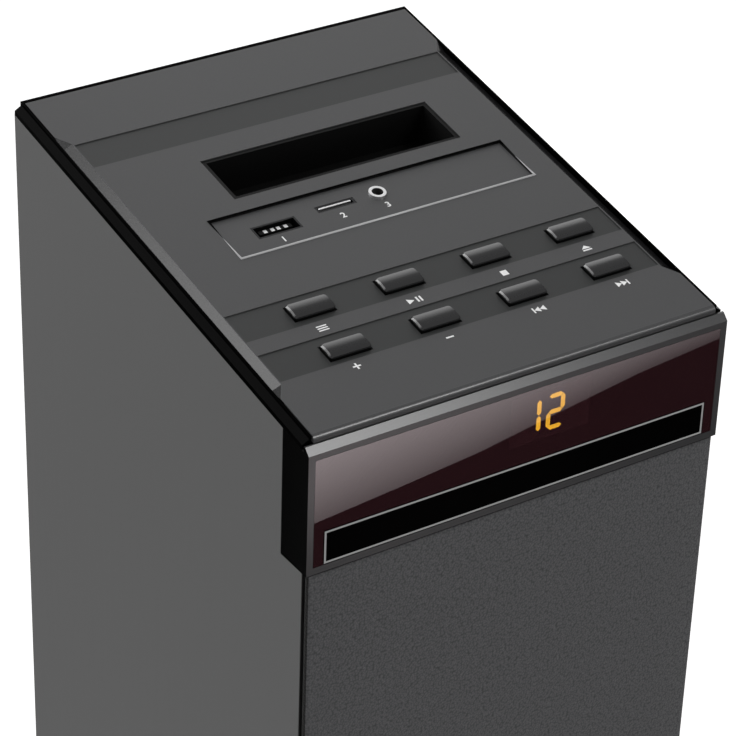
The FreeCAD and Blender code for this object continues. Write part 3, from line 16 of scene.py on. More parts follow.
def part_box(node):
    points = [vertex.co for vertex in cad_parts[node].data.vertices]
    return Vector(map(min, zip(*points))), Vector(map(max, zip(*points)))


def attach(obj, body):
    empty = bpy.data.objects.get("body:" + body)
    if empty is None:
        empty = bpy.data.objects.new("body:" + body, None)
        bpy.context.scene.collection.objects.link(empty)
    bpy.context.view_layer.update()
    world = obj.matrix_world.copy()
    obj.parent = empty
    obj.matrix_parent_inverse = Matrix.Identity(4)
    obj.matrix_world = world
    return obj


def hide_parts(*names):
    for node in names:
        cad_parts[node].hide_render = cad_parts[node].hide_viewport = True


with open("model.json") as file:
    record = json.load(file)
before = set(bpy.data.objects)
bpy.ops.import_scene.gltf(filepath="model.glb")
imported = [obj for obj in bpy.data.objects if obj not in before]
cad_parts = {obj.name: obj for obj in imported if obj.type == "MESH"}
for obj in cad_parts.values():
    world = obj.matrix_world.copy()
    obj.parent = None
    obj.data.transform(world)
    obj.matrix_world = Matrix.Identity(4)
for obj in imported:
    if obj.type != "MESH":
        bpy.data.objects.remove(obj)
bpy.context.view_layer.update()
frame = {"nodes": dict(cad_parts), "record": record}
nodes = frame["nodes"]
scene = bpy.context.scene
scene.view_settings.view_transform = "Standard"
MM = 0.001
print("solids loaded:", len(nodes))

# %% [markdown]
# ## Two sets of coordinates
# Most details lie on the sloped deck or on the upright front. Measuring them in each surface's own
# coordinates keeps the numbers small and readable: across, up the slope and out of the deck, or across,
# down from the deck's front edge and out of the front. Two functions turn these into the part's frame.

# %% Places on the deck and on the front
SLOPE = math.radians(9.5)
TOWER_TOP = 985.0
DECK_DEPTH = 168.0
DECK_FRONT = -82.5
DECK_LOW = TOWER_TOP - DECK_DEPTH * math.tan(SLOPE)
FACE = -85.5


def on_deck(across, up, out):
    """Deck millimetres to metres: the slope turns (up, out) by its angle about the deck's front edge."""
    y = DECK_FRONT + up * math.cos(SLOPE) - out * math.sin(SLOPE)
    z = DECK_LOW + up * math.sin(SLOPE) + out * math.cos(SLOPE)
    return MM * np.stack(np.broadcast_arrays(across, y, z), axis=-1)


def on_front(across, drop, out):
    """Front millimetres to metres: drop is measured down from the deck's front edge, out towards -Y."""
    y = FACE - out
    z = DECK_LOW - drop
    return MM * np.stack(np.broadcast_arrays(across, y, z), axis=-1)


print("deck's front edge in mm:", DECK_FRONT, round(DECK_LOW, 3))

# %% [markdown]
# ## Camera
# The photograph looks down on the head from the front left. The place, the direction, a roll of two
# degrees and the long lens come from fitting the deck's corners, the fascia and the slots to the picture,
# so nothing is shifted or cropped here.

# %% Make the camera
CAMERA_PLACE = Vector((-0.446307, -0.668120, 1.406357))
CAMERA_AIM = Vector((-0.036271, -0.058978, 0.955689))
CAMERA_ROLL = math.radians(1.986)

lens = bpy.data.cameras.new("photo_lens")
lens.lens = 149.24
lens.sensor_width = 36.0
camera = bpy.data.objects.new("photo_camera", lens)
scene.collection.objects.link(camera)
ahead = (CAMERA_AIM - CAMERA_PLACE).normalized()
level = ahead.cross(Vector((0, 0, 1))).normalized()
upright = level.cross(ahead)
right = level * math.cos(CAMERA_ROLL) + upright * math.sin(CAMERA_ROLL)
above = upright * math.cos(CAMERA_ROLL) - level * math.sin(CAMERA_ROLL)
turn = Matrix((right, above, -ahead)).transposed().to_4x4()
camera.matrix_world = Matrix.Translation(CAMERA_PLACE) @ turn
scene.camera = camera
print("camera looks along", [round(part, 3) for part in ahead])

# %% [markdown]
# ## Small helpers
# Colours are written as sRGB hex, as one reads them off a screen, and turned to the linear values that
# shaders add up. One function adds a node, sets its options and joins its sockets. Meshes come from grids
# of points: a surface with two parameters needs only its array of points and the quads between them.

# %% Colour, node and mesh helpers
def colour(code):
    """An sRGB hex colour as linear RGBA: the sRGB curve is undone channel by channel."""
    channels = np.array([int(code[start:start + 2], 16) for start in (1, 3, 5)]) / 255
    linear = np.where(channels <= 0.04045, channels / 12.92, ((channels + 0.055) / 1.055) ** 2.4)
    return (*linear.tolist(), 1.0)


def add(tree, kind, inputs=None, **settings):
    """Add a node; inputs maps a socket's name or number to a value or to the output it is joined to."""
    node = tree.nodes.new(kind)
    for option, choice in settings.items():
        setattr(node, option, choice)
    for key, content in (inputs or {}).items():
        if isinstance(content, bpy.types.NodeSocket):
            tree.links.new(content, node.inputs[key])
        else:
            node.inputs[key].default_value = content
    return node


def maths(tree, operation, *terms):
    """One step of arithmetic on numbers or outputs of other nodes, as the output of a maths node."""
    return add(tree, "ShaderNodeMath", dict(enumerate(terms)), operation=operation).outputs[0]


def new_material(name):
    """An empty material and its node tree."""
    material = bpy.data.materials.new(name)
    material.use_nodes = True
    material.node_tree.nodes.clear()
    return material, material.node_tree


def grid_quads(rows, columns, ring=False):
    """Quads between the neighbours on a grid of points; a ring joins the last column to the first."""
    index = np.arange(rows * columns).reshape(rows, columns)
    beside = np.roll(index, -1, axis=1)
    quads = np.stack([index[:-1], beside[:-1], beside[1:], index[1:]], axis=-1)
    return (quads if ring else quads[:, :-1]).reshape(-1, 4).tolist()


def new_piece(name, points, faces, material, body, smooth=False):
    """Put points and faces into a mesh object that rides on a body and takes its finish from a slot."""
    mesh = bpy.data.meshes.new(name)
    mesh.from_pydata(np.asarray(points).reshape(-1, 3).tolist(), [], faces)
    mesh.polygons.foreach_set("use_smooth", np.full(len(mesh.polygons), smooth))
    mesh.update()
    piece = bpy.data.objects.new(name, mesh)
    scene.collection.objects.link(piece)
    mesh.materials.append(material)
    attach(piece, body)
    return piece


def thickened(piece, thickness):
    """Give a flat piece a wall of this many millimetres, inward from its front."""
    wall = piece.modifiers.new("wall", "SOLIDIFY")
    wall.thickness = thickness * MM
    wall.offset = -1.0
    return piece


# %% [markdown]
# ## Studio
# The picture has a white ground and soft light that is strongest from the upper left. A pale dome gives
# the even part: white at the horizon, so the ground stays white from every side, and grey overhead, so
# that glossy black stays black. A large soft box gives the direction and a small one fills the front. The
# floor shows its white to the camera and to reflections, and still takes the tower's shadow.

# %% Dome, floor and soft boxes
DOME_LOW, DOME_HIGH = 1.0, 0.42
DIM_FROM, DIM_TO = 0.12, 0.5
FLOOR_GLOW = 0.6
FLOOR_REACH = 12.0
HEAD = Vector((0.0, 0.0, 0.95))

world = bpy.data.worlds.new("pale_dome")
world.use_nodes = True
scene.world = world
sky = world.node_tree
sky.nodes.clear()
heading = add(sky, "ShaderNodeTexCoord").outputs["Generated"]
height = add(sky, "ShaderNodeSeparateXYZ", {"Vector": heading}).outputs["Z"]
strength = add(sky, "ShaderNodeMapRange", {
    "Value": height, "From Min": DIM_FROM, "From Max": DIM_TO, "To Min": DOME_LOW, "To Max": DOME_HIGH,
}, interpolation_type="SMOOTHSTEP").outputs["Result"]
glow = add(sky, "ShaderNodeBackground", {"Color": colour("#ffffff"), "Strength": strength})
add(sky, "ShaderNodeOutputWorld", {"Surface": glow.outputs["Background"]})

floor_paint, tree = new_material("white_floor_paint")
path = add(tree, "ShaderNodeLightPath").outputs
seen = maths(tree, "MAXIMUM", path["Is Camera Ray"], path["Is Glossy Ray"])
seen = maths(tree, "MAXIMUM", seen, path["Is Transmission Ray"])
lift = maths(tree, "MULTIPLY", seen, FLOOR_GLOW)
paint = add(tree, "ShaderNodeBsdfPrincipled", {
    "Base Color": colour("#e6e6e6"), "Roughness": 0.9, "Specular IOR Level": 0.0,
    "Emission Color": colour("#ffffff"), "Emission Strength": lift})
add(tree, "ShaderNodeOutputMaterial", {"Surface": paint.outputs["BSDF"]})

corners = FLOOR_REACH * np.array([(-1, -1, 0), (1, -1, 0), (1, 1, 0), (-1, 1, 0)], float)
floor_mesh = bpy.data.meshes.new("studio_floor")
floor_mesh.from_pydata(corners.tolist(), [], [[0, 1, 2, 3]])
floor_mesh.materials.append(floor_paint)
floor = bpy.data.objects.new("studio_floor", floor_mesh)
scene.collection.objects.link(floor)


def soft_box(name, towards, distance, size, power):
    """A square area lamp at a distance from the tower's head, turned to face it."""
    lamp = bpy.data.lights.new(name, "AREA")
    lamp.size = size
    lamp.energy = power
    box = bpy.data.objects.new(name, lamp)
    heading = Vector(towards).normalized()
    box.location = HEAD + heading * distance
    box.rotation_euler = heading.to_track_quat("Z", "Y").to_euler()
    box.visible_camera = False
    scene.collection.objects.link(box)
    return box


soft_box("key_box", (-0.48, 0.40, 0.78), distance=2.4, size=1.5, power=28.0)
front_box = soft_box("front_box", (0.335, -0.605, 0.722), distance=2.2, size=0.5, power=8.0)
front_box.visible_glossy = False
print("studio ready; dome from", DOME_LOW, "to", DOME_HIGH)

# %% [markdown]
# ## What the window mirrors
# The smoked window shows a soft bright patch at its upper left that ends in a gentle curve. In a studio
# that is a white card standing in front of the product against a black flag. Each point of the curve is
# mirrored in the window: the ray from the camera keeps going with its depth reversed until it meets the
# upright plane of the card. Only reflections see the card and the flag, so the light on the tower stays.
# A card above the front draws the bright line on the fascia's bevel and on the deck's front round, and
# fades to the right. One behind fades upwards; the rear slopes of the crowned buttons mirror it. A small
# one behind to the left lights the buttons' left edges.

# %% Cards for the window and the buttons, flags for the front and the left flank
CARD_AWAY = 600.0
CARD_HALF, CARD_TOP = 90.0, 2.0
CARD_ROWS, CARD_COLUMNS = 12, 60
CURVE_ACROSS = np.array([-90.0, -69.6, -42.0, -14.9, 12.7, 41.0, 70.0, 90.0])
CURVE_DROP = np.array([28.6, 26.9, 24.4, 21.6, 17.0, 12.6, 9.8, 8.6])


def mirrored_on_card(across, drop, away):
    """Where the camera's ray to a point of the front goes: reversed in depth, carried on to the card."""
    start = on_front(across, drop, 0.0)
    ray = start - np.array(CAMERA_PLACE)
    ray = ray * np.array([1.0, -1.0, 1.0])
    reach = (MM * away) / -ray[..., 1:2]
    return start + ray * reach


def reflected_only(name, points, faces, code, power, fade=None):
    """A card that only reflections see; fade gives each point's share of the full strength."""
    material, tree = new_material(name + "_paper")
    shine = add(tree, "ShaderNodeEmission", {"Color": colour(code), "Strength": power})
    if fade is not None:
        share = add(tree, "ShaderNodeAttribute", attribute_name="fade").outputs["Fac"]
        tree.links.new(maths(tree, "MULTIPLY", share, power), shine.inputs["Strength"])
    add(tree, "ShaderNodeOutputMaterial", {"Surface": shine.outputs["Emission"]})
    mesh = bpy.data.meshes.new(name)
    mesh.from_pydata(np.asarray(points).reshape(-1, 3).tolist(), [], faces)
    if fade is not None:
        layer = mesh.attributes.new("fade", "FLOAT", "POINT")
        layer.data.foreach_set("value", np.asarray(fade, float).ravel())
    mesh.materials.append(material)
    card = bpy.data.objects.new(name, mesh)
    scene.collection.objects.link(card)
    card.visible_camera = False
    card.visible_diffuse = False
    card.visible_transmission = False
    card.visible_shadow = False
    return card


across = np.linspace(-CARD_HALF, CARD_HALF, CARD_COLUMNS)
edge = np.interp(across, CURVE_ACROSS, CURVE_DROP)
rows = np.linspace(0.0, 1.0, CARD_ROWS)[:, None]
drop = CARD_TOP + rows * (edge - CARD_TOP)
rightward = np.interp(across, [-80.0, 70.0], [1.0, 0.4])
reflected_only("window_card", mirrored_on_card(across + 0 * drop, drop, CARD_AWAY),
               grid_quads(CARD_ROWS, CARD_COLUMNS), "#fff2f4", 5.0, rightward * (1.0 - 0.7 * rows))

FLAG_GAP, FLAG_HALF, FLAG_TOP = 5.0, 1.5, 0.93
FLAG_Y = MM * (FACE - CARD_AWAY - FLAG_GAP)
front_flag = [(-FLAG_HALF, FLAG_Y, 0.0), (FLAG_HALF, FLAG_Y, 0.0),
              (FLAG_HALF, FLAG_Y, FLAG_TOP), (-FLAG_HALF, FLAG_Y, FLAG_TOP)]
reflected_only("front_flag", front_flag, [[0, 1, 2, 3]], "#000000", 0.0)

FLANK, LEFT_FLAG_AWAY = -0.0725, 0.45
flag_depth = np.array([-0.12, 0.12, 0.12, -0.12])
flag_height = np.array([0.55, 0.55, 1.02, 1.02])
start = np.stack([np.full(4, FLANK), flag_depth, flag_height], axis=-1)
ray = (start - np.array(CAMERA_PLACE)) * np.array([-1.0, 1.0, 1.0])
reach = LEFT_FLAG_AWAY / -ray[:, :1]
reflected_only("left_flag", start + ray * reach, [[0, 1, 2, 3]], "#000000", 0.0)

CARDS_AWAY = 2.0
FRONT_ROWS, FRONT_COLUMNS = 8, 22
turn = np.radians(np.linspace(20.0, 62.0, FRONT_COLUMNS))
lift = np.radians(np.linspace(26.0, 54.0, FRONT_ROWS))[:, None]
front_points = np.array(HEAD) + CARDS_AWAY * np.stack(np.broadcast_arrays(
    np.sin(turn) * np.cos(lift), -np.cos(turn) * np.cos(lift), np.sin(lift)), axis=-1)
front_fade = np.interp(np.degrees(turn), [20.0, 36.0, 44.0, 50.0], [1.0, 1.0, 0.15, 0.02]) + 0 * lift
reflected_only("front_card", front_points, grid_quads(FRONT_ROWS, FRONT_COLUMNS), "#ffffff", 9.0,
               front_fade)

REAR_HEADING = np.array([0.49, 0.87, 0.0])
REAR_SIDE = np.array([0.87, -0.49, 0.0])
REAR_FOOT, REAR_TALL, REAR_ROWS = 0.35, 2.3, 9
climb = np.linspace(0.0, 1.0, REAR_ROWS)[:, None, None]
aside = np.array([-0.6, 0.6])[None, :, None]
rear_points = (np.array(HEAD) + REAR_HEADING * CARDS_AWAY + REAR_SIDE * aside
               + np.array([0.0, 0.0, 1.0]) * (REAR_FOOT + REAR_TALL * climb))
rear_fade = np.broadcast_to(np.clip(1.6 * (1.0 - climb), 0.0, 1.0), (REAR_ROWS, 2, 1))
reflected_only("rear_card", rear_points, grid_quads(REAR_ROWS, 2), "#ffffff", 2.0, rear_fade)

turn = np.radians(np.linspace(-48.0, -20.0, 2))
lift = np.radians(np.linspace(18.0, 40.0, 2))[:, None]
left_points = np.array(HEAD) + CARDS_AWAY * np.stack(np.broadcast_arrays(
    np.sin(turn) * np.cos(lift), np.cos(turn) * np.cos(lift), np.sin(lift)), axis=-1)
reflected_only("left_card", left_points, grid_quads(2, 2), "#ffffff", 9.0)
print("cards stand", CARD_AWAY, "mm in front of the window")

# %% [markdown]
# ## Moulded plastic
# The deck, the buttons and most of the loader are injection-moulded ABS. A mould that is spark-eroded
# leaves a fine pebbled grain which breaks up reflections, and a polished mould leaves gloss. One function
# covers both: a noise as wide as the grain mixes two close greys and drives a shallow bump. Real grain is
# about 0.1 mm and would vanish in the picture, so it is drawn a few times coarser.

# %% Moulded plastic finishes
WEAR_WIDE = 18.0


def grain(tree, width, detail=2.0):
    """Noise on Object coordinates whose blobs are about this many millimetres wide."""
    place = add(tree, "ShaderNodeTexCoord").outputs["Object"]
    return add(tree, "ShaderNodeTexNoise", {
        "Vector": place, "Scale": 1.0 / (width * MM), "Detail": detail, "Roughness": 0.55}).outputs["Fac"]


def two_tone(tree, factor, first, second):
    """A colour between two others by a factor; each is a hex colour or the output of another node."""
    first, second = (colour(end) if isinstance(end, str) else end for end in (first, second))
    return add(tree, "ShaderNodeMix", {"Factor": factor, 6: first, 7: second}, data_type="RGBA").outputs[2]


def bumped(tree, height, strength, depth):
    """A normal bent by a height, as if its peaks stood `depth` millimetres proud."""
    return add(tree, "ShaderNodeBump", {
        "Height": height, "Strength": strength, "Distance": depth * MM}).outputs["Normal"]


def spread(tree, factor, low, high):
    """A factor from 0 to 1 stretched between two numbers."""
    return add(tree, "ShaderNodeMapRange", {
        "Value": factor, "To Min": low, "To Max": high}).outputs["Result"]


def moulded(name, first, second, width, depth, gloss, level=0.5, bump=0.25):
    """Moulded plastic: two close colours, a grain `width` wide and `depth` deep, roughness near `gloss`."""
    material, tree = new_material(name)
    grit = grain(tree, width)
    wear = grain(tree, WEAR_WIDE)
    surface = add(tree, "ShaderNodeBsdfPrincipled", {
        "Base Color": two_tone(tree, grit, first, second),
        "Roughness": spread(tree, wear, gloss - 0.05, gloss + 0.05),
        "Normal": bumped(tree, grit, bump, depth),
        "IOR": 1.5, "Specular IOR Level": level})
    add(tree, "ShaderNodeOutputMaterial", {"Surface": surface.outputs["BSDF"]})
    return material


panel_abs = moulded("grained_grey_abs", "#404041", "#454546", 0.6, 0.03, 0.48, level=0.32)
black_abs = moulded("matt_black_abs", "#0b0b0c", "#101011", 0.8, 0.04, 0.55, level=0.3)
gloss_abs = moulded("polished_black_abs", "#020202", "#040404", 3.0, 0.004, 0.12, level=0.01, bump=0.05)
slot_abs = moulded("slot_black_abs", "#030303", "#060606", 0.8, 0.04, 0.6, level=0.15)
plate_abs = moulded("satin_black_abs", "#1f1f20", "#252526", 0.7, 0.03, 0.4, level=0.35)
door_abs = moulded("door_black_abs", "#010101", "#020202", 3.0, 0.004, 0.25, level=0.01, bump=0.05)
acetal = moulded("white_acetal", "#d9d8d2", "#e4e3dd", 1.2, 0.01, 0.42)
rubber = moulded("black_nitrile_rubber", "#0e0e0e", "#151515", 0.7, 0.06, 0.75, level=0.3)
print("moulded finishes: 8")

# %% [markdown]
# ## Deck with darker bands and dark glossy bevels
# The deck is one moulding with three finishes: fine grain on the main face, a darker matt band where the
# surface is 0.3 mm lower, and a polished dark bevel along each side. Round the socket panel, the lowered
# walls and floor of its recess are coloured near-black as a painted shade. The shader measures how far a
# point is out of the deck, with a dot product against the deck's normal, so each finish ends exactly at the
# edge that the solid has there. The buttons take a satin finish, and by the same measure their walls are
# painted black as a painted shade.

# %% Deck and button finishes
BEVEL_LINE = 66.2
BEVEL_START = -68.0
EDGE_START = -81.9
BAND_DEPTH, BAND_TOLERANCE, FACE_TOLERANCE = 0.3, 0.05, 0.02
RECESS_MIDDLE, RECESS_HALF = 1.3, 10.5
BUTTON_EDGE, BUTTON_CHAMFER = 0.95, 0.45


def out_of_deck(tree):
    """How far a point lies out of the deck's face: its dot product with the normal, less the face's own."""
    place = add(tree, "ShaderNodeTexCoord").outputs["Object"]
    outward = (0.0, -math.sin(SLOPE), math.cos(SLOPE))
    level = MM * (DECK_LOW * math.cos(SLOPE) - DECK_FRONT * math.sin(SLOPE))
    along = add(tree, "ShaderNodeVectorMath", {0: place, 1: outward}, operation="DOT_PRODUCT")
    return maths(tree, "SUBTRACT", along.outputs["Value"], level)


def deck_plastic():
    """Grained ABS, darker on the bands' floor, glossy black on the side bevels, near-black round the socket
    panel as painted shade.
    """
    material, tree = new_material("three_finish_deck_abs")
    place = add(tree, "ShaderNodeTexCoord").outputs["Object"]
    out = out_of_deck(tree)
    parts = add(tree, "ShaderNodeSeparateXYZ", {"Vector": place}).outputs
    side = maths(tree, "ABSOLUTE", parts["X"])
    lowered = maths(tree, "LESS_THAN", out, -FACE_TOLERANCE * MM)
    bevel = maths(tree, "GREATER_THAN", side, BEVEL_LINE * MM)
    bevel = maths(tree, "MULTIPLY", bevel, maths(tree, "GREATER_THAN", parts["Y"], BEVEL_START * MM))
    bevel = maths(tree, "MULTIPLY", bevel, lowered)
    band = maths(tree, "COMPARE", out, -BAND_DEPTH * MM, BAND_TOLERANCE * MM)
    polished = maths(tree, "MAXIMUM", bevel, maths(tree, "LESS_THAN", parts["Y"], EDGE_START * MM))
    # Painted shade: the lowered walls and floor round the socket panel are coloured near-black (#050505).
    recess_shade = maths(tree, "COMPARE", parts["Y"], RECESS_MIDDLE * MM, RECESS_HALF * MM)
    recess_shade = maths(tree, "MULTIPLY", recess_shade, lowered)
    grit = grain(tree, 0.6)
    tone = two_tone(tree, grit, "#404041", "#454546")
    tone = two_tone(tree, recess_shade, tone, "#050505")
    tone = two_tone(tree, band, tone, "#292a2a")
    tone = two_tone(tree, bevel, tone, "#1a1a1b")
    surface = add(tree, "ShaderNodeBsdfPrincipled", {
        "Base Color": tone,
        "Roughness": spread(tree, polished, 0.48, 0.2),
        "Normal": bumped(tree, grit, 0.25, 0.03),
        "IOR": 1.5, "Specular IOR Level": spread(tree, polished, 0.32, 0.5)})
    add(tree, "ShaderNodeOutputMaterial", {"Surface": surface.outputs["BSDF"]})
    return material


def button_plastic():
    """Satin ABS on the button's top and chamfer; its side walls are painted matt black, a painted shade of
    the narrow gap round them.
    """
    material, tree = new_material("satin_grey_abs")
    # Painted shade: everything below the chamfer, the button's side walls, is coloured near-black and made
    # matt.
    wall = maths(tree, "LESS_THAN", out_of_deck(tree), (BUTTON_EDGE - BUTTON_CHAMFER) * MM)
    grit = grain(tree, 0.5)
    tone = two_tone(tree, wall, two_tone(tree, grit, "#202021", "#252526"), "#040404")
    surface = add(tree, "ShaderNodeBsdfPrincipled", {
        "Base Color": tone,
        "Roughness": spread(tree, wall, 0.2, 0.6),
        "Specular IOR Level": spread(tree, wall, 0.45, 0.05),
        "Normal": bumped(tree, grit, 0.08, 0.006), "IOR": 1.5})
    add(tree, "ShaderNodeOutputMaterial", {"Surface": surface.outputs["BSDF"]})
    return material


deck_abs = deck_plastic()
button_abs = button_plastic()
print("deck and button finishes made")

# %% [markdown]
# ## Fascia with black flanks
# The frame round the window is satin grey on its front and polished black where it wraps round the sides.
# The side is found from how far a point lies across, so the change falls on the solid's own corner.

# %% Fascia finish
FLANK_LINE = 72.4


def fascia_plastic():
    """Satin grey ABS in front, black gloss with little reflection on both flanks."""
    material, tree = new_material("two_finish_fascia_abs")
    place = add(tree, "ShaderNodeTexCoord").outputs["Object"]
    side = add(tree, "ShaderNodeSeparateXYZ", {"Vector": place}).outputs["X"]
    flank = maths(tree, "GREATER_THAN", maths(tree, "ABSOLUTE", side), FLANK_LINE * MM)
    grit = grain(tree, 0.5)
    surface = add(tree, "ShaderNodeBsdfPrincipled", {
        "Base Color": two_tone(tree, flank, two_tone(tree, grit, "#343435", "#3a3a3b"), "#030303"),
        "Roughness": spread(tree, flank, 0.16, 0.12),
        "Specular IOR Level": spread(tree, flank, 0.5, 0.05),
        "Normal": bumped(tree, grit, 0.1, 0.006),
        "IOR": 1.5})
    add(tree, "ShaderNodeOutputMaterial", {"Surface": surface.outputs["BSDF"]})
    return material


fascia_abs = fascia_plastic()
print("fascia finish made")

# %% [markdown]
# ## Boards
# The cabinet is fibreboard wrapped in printed foil: satin grey outside, black on the back and the plinth.
# Foil shows the faint long streaks of its roller, so the noise is stretched along the height of the panel.
# The front edges, beside the grille, are coloured near-black as a painted shade: the dark line of shadow
# down the tower's corner.

# %% Foiled boards
FRONT_EDGE = -83.2
STREAK_WIDE, STREAK_TALL = 2.0, 60.0


def foiled_board(name, first, second, gloss, level, shaded_edge_code):
    """Foil on fibreboard: long narrow streaks, a fine pressed grain and a front edge coloured dark as
    painted shade.
    """
    material, tree = new_material(name)
    place = add(tree, "ShaderNodeTexCoord").outputs["Object"]
    squeeze = [1.0 / (size * MM) for size in (STREAK_WIDE, STREAK_WIDE, STREAK_TALL)]
    stretched = add(tree, "ShaderNodeMapping", {"Vector": place, "Scale": squeeze}).outputs["Vector"]
    streak = add(tree, "ShaderNodeTexNoise", {
        "Vector": stretched, "Scale": 1.0, "Detail": 3.0}).outputs["Fac"]
    grit = grain(tree, 0.7)
    depth = add(tree, "ShaderNodeSeparateXYZ", {"Vector": place}).outputs["Y"]
    # Painted shade: points in front of FRONT_EDGE take the dark edge colour, the shadow beside the grille.
    edge = maths(tree, "LESS_THAN", depth, FRONT_EDGE * MM)
    surface = add(tree, "ShaderNodeBsdfPrincipled", {
        "Base Color": two_tone(tree, edge, two_tone(tree, streak, first, second), shaded_edge_code),
        "Roughness": spread(tree, streak, gloss - 0.04, gloss + 0.04),
        "Normal": bumped(tree, grit, 0.15, 0.02),
        "IOR": 1.5, "Specular IOR Level": level})
    add(tree, "ShaderNodeOutputMaterial", {"Surface": surface.outputs["BSDF"]})
    return material


# Both boards get a near-black front edge as painted shade.
grey_foil = foiled_board("satin_grey_foil_board", "#4a4a4a", "#4e4e4e", 0.55, 0.3, "#050505")
black_foil = foiled_board("matt_black_foil_board", "#111112", "#161617", 0.45, 0.3, "#050505")
print("foiled boards: 2")

# %% [markdown]
# ## Metals and the pieces inside
# The round jack and the guide rods are nickel-plated, the two flat sockets are blackened, screws and motors
# are zinc-plated, and the pickup is die-cast. A metal takes its colour from its reflection, so these need
# only a base colour, a little rolling or casting noise and the right roughness. The speaker cones are
# pressed paper, the surrounds are rubber and the magnets are sintered ferrite, all matt.

# %% Metals, paper, ferrite and circuit board
def plated(name, first, second, width, gloss):
    """A metal with two close tones and a roughness that varies over blobs `width` wide."""
    material, tree = new_material(name)
    blob = grain(tree, width)
    surface = add(tree, "ShaderNodeBsdfPrincipled", {
        "Base Color": two_tone(tree, blob, first, second), "Metallic": 1.0,
        "Roughness": spread(tree, blob, gloss - 0.06, gloss + 0.06),
        "Normal": bumped(tree, blob, 0.08, 0.01)})
    add(tree, "ShaderNodeOutputMaterial", {"Surface": surface.outputs["BSDF"]})
    return material


nickel = plated("nickel_plate", "#b9b9ba", "#cbcbcc", 0.9, 0.22)
black_steel = plated("blackened_steel", "#2c2c2d", "#343435", 0.8, 0.4)
bright_nickel = plated("bright_nickel_plate", "#dcdcdd", "#ececed", 0.9, 0.38)
zinc = plated("zinc_plate", "#8d9092", "#a3a6a8", 1.5, 0.35)
cast_zinc = plated("die_cast_zinc", "#75787a", "#878a8c", 0.8, 0.5)
baked_paint = moulded("baked_black_paint", "#0d0d0d", "#121212", 1.0, 0.03, 0.5)
pressed_paper = moulded("pressed_cone_paper", "#161616", "#232323", 0.8, 0.15, 0.9, level=0.2)
roll_rubber = moulded("surround_rubber", "#121212", "#181818", 1.0, 0.03, 0.6)
ferrite = moulded("sintered_ferrite", "#1e1d1d", "#282726", 0.9, 0.08, 0.7)
solder_mask = moulded("green_solder_mask", "#0f3a22", "#14472a", 1.5, 0.02, 0.35)
print("metals and inner finishes: 10")

# %% [markdown]
# ## Smoked window
# The window is dark red-brown acrylic, polished on its face. Light passes through it twice before it comes
# back from the frame behind, so only the bright digits show. Transmission with a tinted base colour does
# the same, and the shader's own reflection mirrors the card in the studio.

# %% Smoked acrylic
def smoked_acrylic():
    """Tinted clear acrylic with a trace of orange peel: a broad, shallow noise in the polish."""
    material, tree = new_material("smoked_acrylic")
    peel = grain(tree, 6.0, detail=1.0)
    surface = add(tree, "ShaderNodeBsdfPrincipled", {
        "Base Color": two_tone(tree, peel, "#58343a", "#5c383e"),
        "Roughness": 0.0, "IOR": 1.49, "Transmission Weight": 0.78,
        "Normal": bumped(tree, peel, 0.01, 0.01)})
    add(tree, "ShaderNodeOutputMaterial", {"Surface": surface.outputs["BSDF"]})
    return material


window_acrylic = smoked_acrylic()
print("window finish made")

# %% [markdown]
# ## Hand each solid its finish
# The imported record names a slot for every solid, so most finishes are dealt out by slot. A few solids in
# one slot look different on the real object, and those are named on their own.

# %% Assign finishes
SLOT_FINISH = {
    "grey_board": grey_foil, "black_board": black_foil, "rubber": rubber, "steel": zinc,
    "grille_fabric": black_foil, "black_plastic": black_abs, "painted_steel": baked_paint,
    "surround_rubber": roll_rubber, "cone_paper": pressed_paper, "ferrite": ferrite,
    "gloss_black": gloss_abs, "fascia_grey": fascia_abs, "deck_grey": deck_abs,
    "button_grey": button_abs, "smoked_window": window_acrylic, "circuit_board": solder_mask,
    "motor_steel": zinc, "belt_rubber": rubber, "white_acetal": acetal, "pickup_metal": cast_zinc,
}
NODE_FINISH = {
    "socket_panel": panel_abs, "phone_slot_liner": slot_abs, "tray_door": door_abs,
    "display_module": door_abs, "rear_plate": plate_abs, "power_rocker": gloss_abs,
    "usb_socket": black_steel, "card_socket": black_steel, "aux_jack": bright_nickel, "sled_rods": nickel,
}
for part in frame["record"]["subparts"]:
    finish = NODE_FINISH.get(part["node"], SLOT_FINISH[part["material_slot"]])
    nodes[part["node"]].data.materials.clear()
    nodes[part["node"]].data.materials.append(finish)

# %% [markdown]
# ## Button tops
# Each button is a small pillow: straight sides, a chamfer and a top that is crowned from front to back,
# which is why its rear half catches the light and its front half goes dark. A box with rounded edges
# can't do that, so the top is worked out. Its outline is a rounded rectangle; rings of it climb the side,
# turn inwards over the chamfer and shrink to the centre, while the crown lifts the middle.

# %% Make the button tops
BUTTON_WIDE, BUTTON_LONG, BUTTON_FOOT = 13.75, 6.7, -3.0
TOP_RINGS = 8
FRONT_SHARE = 0.2
BUTTON_CORNER, BUTTON_CROWN = 1.0, 0.5
SHARP_ANGLE = 30.0
BUTTON_PITCH, BUTTON_ROW = 30.54, 19.2
FIRST_ACROSS, FIRST_UP = -48.235 + 14.25 / 2, 24.8 + 7.2 / 2
BUTTON_ROWS = (("volume_up", "volume_down", "previous", "next"), ("mode", "play", "stop", "open_close"))


def rounded_rectangle(half_wide, half_long, radius, steps=8, runs=10):
    """Points round a rectangle: on each side a straight run, then a quarter circle round the corner."""
    angle = np.linspace(0.0, np.pi / 2, steps)
    arc = np.stack([np.sin(angle), 1 - np.cos(angle)], axis=-1)
    parts = []
    turn = np.eye(2)
    for half, other in ((half_wide, half_long), (half_long, half_wide)) * 2:
        run = np.linspace(radius - half, half - radius, runs, endpoint=False)
        straight = np.stack([run, np.full(runs, -other)], axis=-1)
        corner = np.array([half - radius, -other]) + radius * arc[:-1]
        parts.append(np.concatenate([straight, corner]) @ turn.T)
        turn = np.array([[0.0, -1.0], [1.0, 0.0]]) @ turn
    return np.concatenate(parts)


